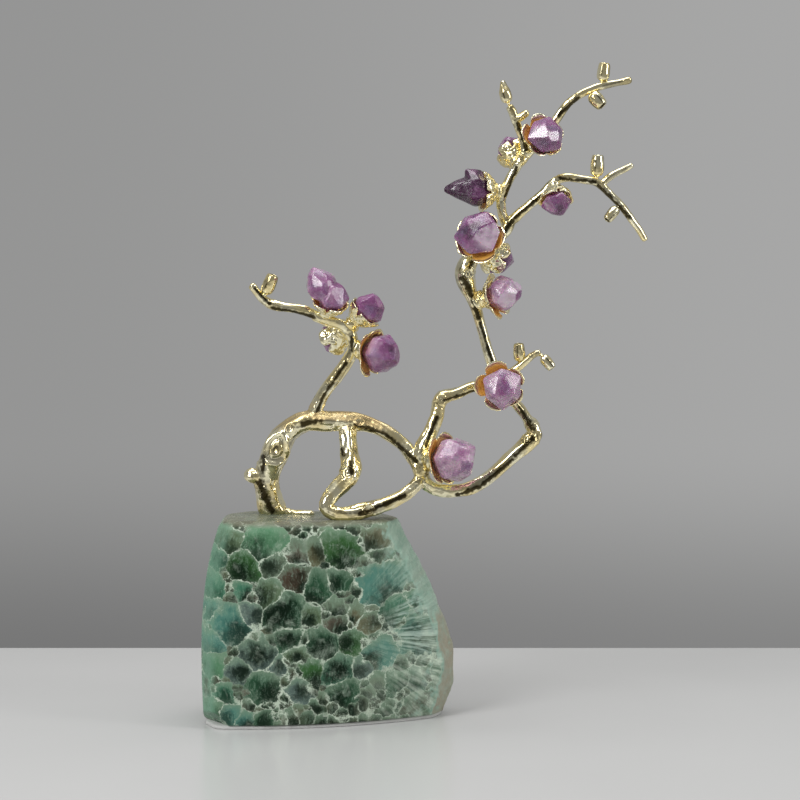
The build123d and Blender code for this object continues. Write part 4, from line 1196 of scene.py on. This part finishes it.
class ORNAMENT_OT_stage(Operator):
    """Sets the table, the wall, the lamps and the camera"""

    bl_idname = "ornament.stage"
    bl_label = "Stage"

    def execute(self, context):
        settings = context.scene.ornament_stage
        self.table(settings)
        self.wall(context, settings)
        for lamp in LAMPS:
            self.lamp(*lamp)
        camera = bpy.data.cameras.new("camera")
        camera.lens = settings.lens
        camera.sensor_width = 36.0
        eye = bpy.data.objects.new("camera", camera)
        eye.location = settings.eye
        eye.rotation_euler = (math.pi / 2 - settings.pitch, 0, 0)
        context.scene.collection.objects.link(eye)
        context.scene.camera = eye
        context.scene.view_settings.view_transform = "Standard"
        return {"FINISHED"}

    def table(self, settings):
        """A glossy pale table top that ends behind the ornament."""
        put_down()
        bpy.ops.mesh.primitive_plane_add(size=1.0)
        table = bpy.context.view_layer.objects.active
        table.name = "table"
        wide, deep = 3.4, 2.2
        place = Matrix.Translation((0, settings.edge - deep / 2, 0))
        table.data.transform(place @ Matrix.Diagonal((wide, deep, 1, 1)))
        f = Finish("table_top")
        cast = f.span(f.noise(160.0, 2.0), 0.3, 0.7, 0.97, 1.0)
        colour = f.mix(1.0, tuple(settings.floor), cast, blend="MULTIPLY")
        f.set(Base_Color=colour, Roughness=0.22, Normal=f.bump(f.noise(2.5, 2.0), 0.004))
        table.data.materials.append(f.material)

    def wall(self, context, settings):
        """The room: a grey wall behind with painted shade at its foot and painted light towards the right, a
        darker room in front and a paler ceiling.
        """
        world = bpy.data.worlds.new("room")
        context.scene.world = world
        world.use_nodes = True
        tree = world.node_tree
        place = tree.nodes.new("ShaderNodeTexCoord")
        axes = tree.nodes.new("ShaderNodeSeparateXYZ")
        tree.links.new(place.outputs["Generated"], axes.inputs[0])

        def span(socket, low, high, to_low, to_high):
            node = tree.nodes.new("ShaderNodeMapRange")
            node.interpolation_type = "SMOOTHSTEP"
            tree.links.new(socket, node.inputs[0])
            for slot, value in zip(node.inputs[1:5], (low, high, to_low, to_high)):
                slot.default_value = value
            return node.outputs[0]

        def combine(operation, first, second):
            node = tree.nodes.new("ShaderNodeMath")
            node.operation = operation
            tree.links.new(first, node.inputs[0])
            tree.links.new(second, node.inputs[1])
            return node.outputs[0]

        x, y, z = axes.outputs
        room = combine("ADD", span(y, -0.35, 0.2, 0.70, 1.0), span(z, 0.70, 0.98, 0, 0.9))
        # the wall seen by the camera: painted shade at its foot above the table, painted light towards the
        # right
        painted_wall_shading = combine("MULTIPLY", span(x, -0.19, 0.20, 0.88, 1.14), span(z, -0.185, -0.09, 0.6, 1.0))
        path = tree.nodes.new("ShaderNodeLightPath")
        choose = tree.nodes.new("ShaderNodeMix")
        tree.links.new(path.outputs["Is Camera Ray"], choose.inputs[0])
        tree.links.new(room, choose.inputs[2])
        tree.links.new(painted_wall_shading, choose.inputs[3])
        back = tree.nodes["Background"]
        back.inputs["Color"].default_value = (*settings.wall, 1.0)
        tree.links.new(choose.outputs[0], back.inputs["Strength"])

    def lamp(self, name, place, wide, high, power):
        """A softbox that looks at the ornament's middle."""
        light = bpy.data.lights.new(name, "AREA")
        light.shape = "RECTANGLE"
        light.size, light.size_y, light.energy = wide, high, power
        stand = bpy.data.objects.new(name, light)
        stand.location = place
        aim = Vector((0.04, 0.0, 0.18)) - Vector(place)
        stand.rotation_euler = aim.to_track_quat("-Z", "Y").to_euler()
        bpy.context.scene.collection.objects.link(stand)


class ORNAMENT_PT_bench(Panel):
    """Lists the ornament's pieces and settings"""

    bl_label = "Gemstone tree ornament"
    bl_idname = "ORNAMENT_PT_bench"
    bl_space_type = "VIEW_3D"
    bl_region_type = "UI"
    bl_category = "Ornament"

    def draw(self, context):
        for name, operators in PANEL_ROWS:
            box = self.layout.box()
            settings = getattr(context.scene, name)
            for key in settings.__annotations__:
                box.prop(settings, key)
            for operator in operators:
                box.operator(operator)


PANEL_ROWS = (
    ("ornament_block", ("ornament.block", "ornament.pad")),
    ("ornament_gilt", ("ornament.castings", "ornament.petals", "ornament.buds", "ornament.fixings")),
    ("ornament_amethyst", ("ornament.crystals",)),
    ("ornament_stage", ("ornament.stage",)),
)
SETTINGS = {
    "ornament_block": BlockSettings,
    "ornament_gilt": GiltSettings,
    "ornament_amethyst": AmethystSettings,
    "ornament_stage": StageSettings,
}
OPERATORS = (
    ORNAMENT_OT_block, ORNAMENT_OT_pad, ORNAMENT_OT_castings, ORNAMENT_OT_petals, ORNAMENT_OT_crystals,
    ORNAMENT_OT_buds, ORNAMENT_OT_fixings, ORNAMENT_OT_stage,
)


def register():
    for group in (*SETTINGS.values(), *OPERATORS, ORNAMENT_PT_bench):
        bpy.utils.register_class(group)
    for name, group in SETTINGS.items():
        setattr(bpy.types.Scene, name, PointerProperty(type=group))


def unregister():
    for name in SETTINGS:
        delattr(bpy.types.Scene, name)
    for group in reversed((*SETTINGS.values(), *OPERATORS, ORNAMENT_PT_bench)):
        bpy.utils.unregister_class(group)


def main():
    register()
    bpy.ops.ornament.block()
    bpy.ops.ornament.pad()
    bpy.ops.ornament.castings()
    bpy.ops.ornament.petals()
    bpy.ops.ornament.crystals()
    bpy.ops.ornament.buds()
    bpy.ops.ornament.fixings()
    bpy.ops.ornament.stage()


if __name__ == "__main__":
    main()
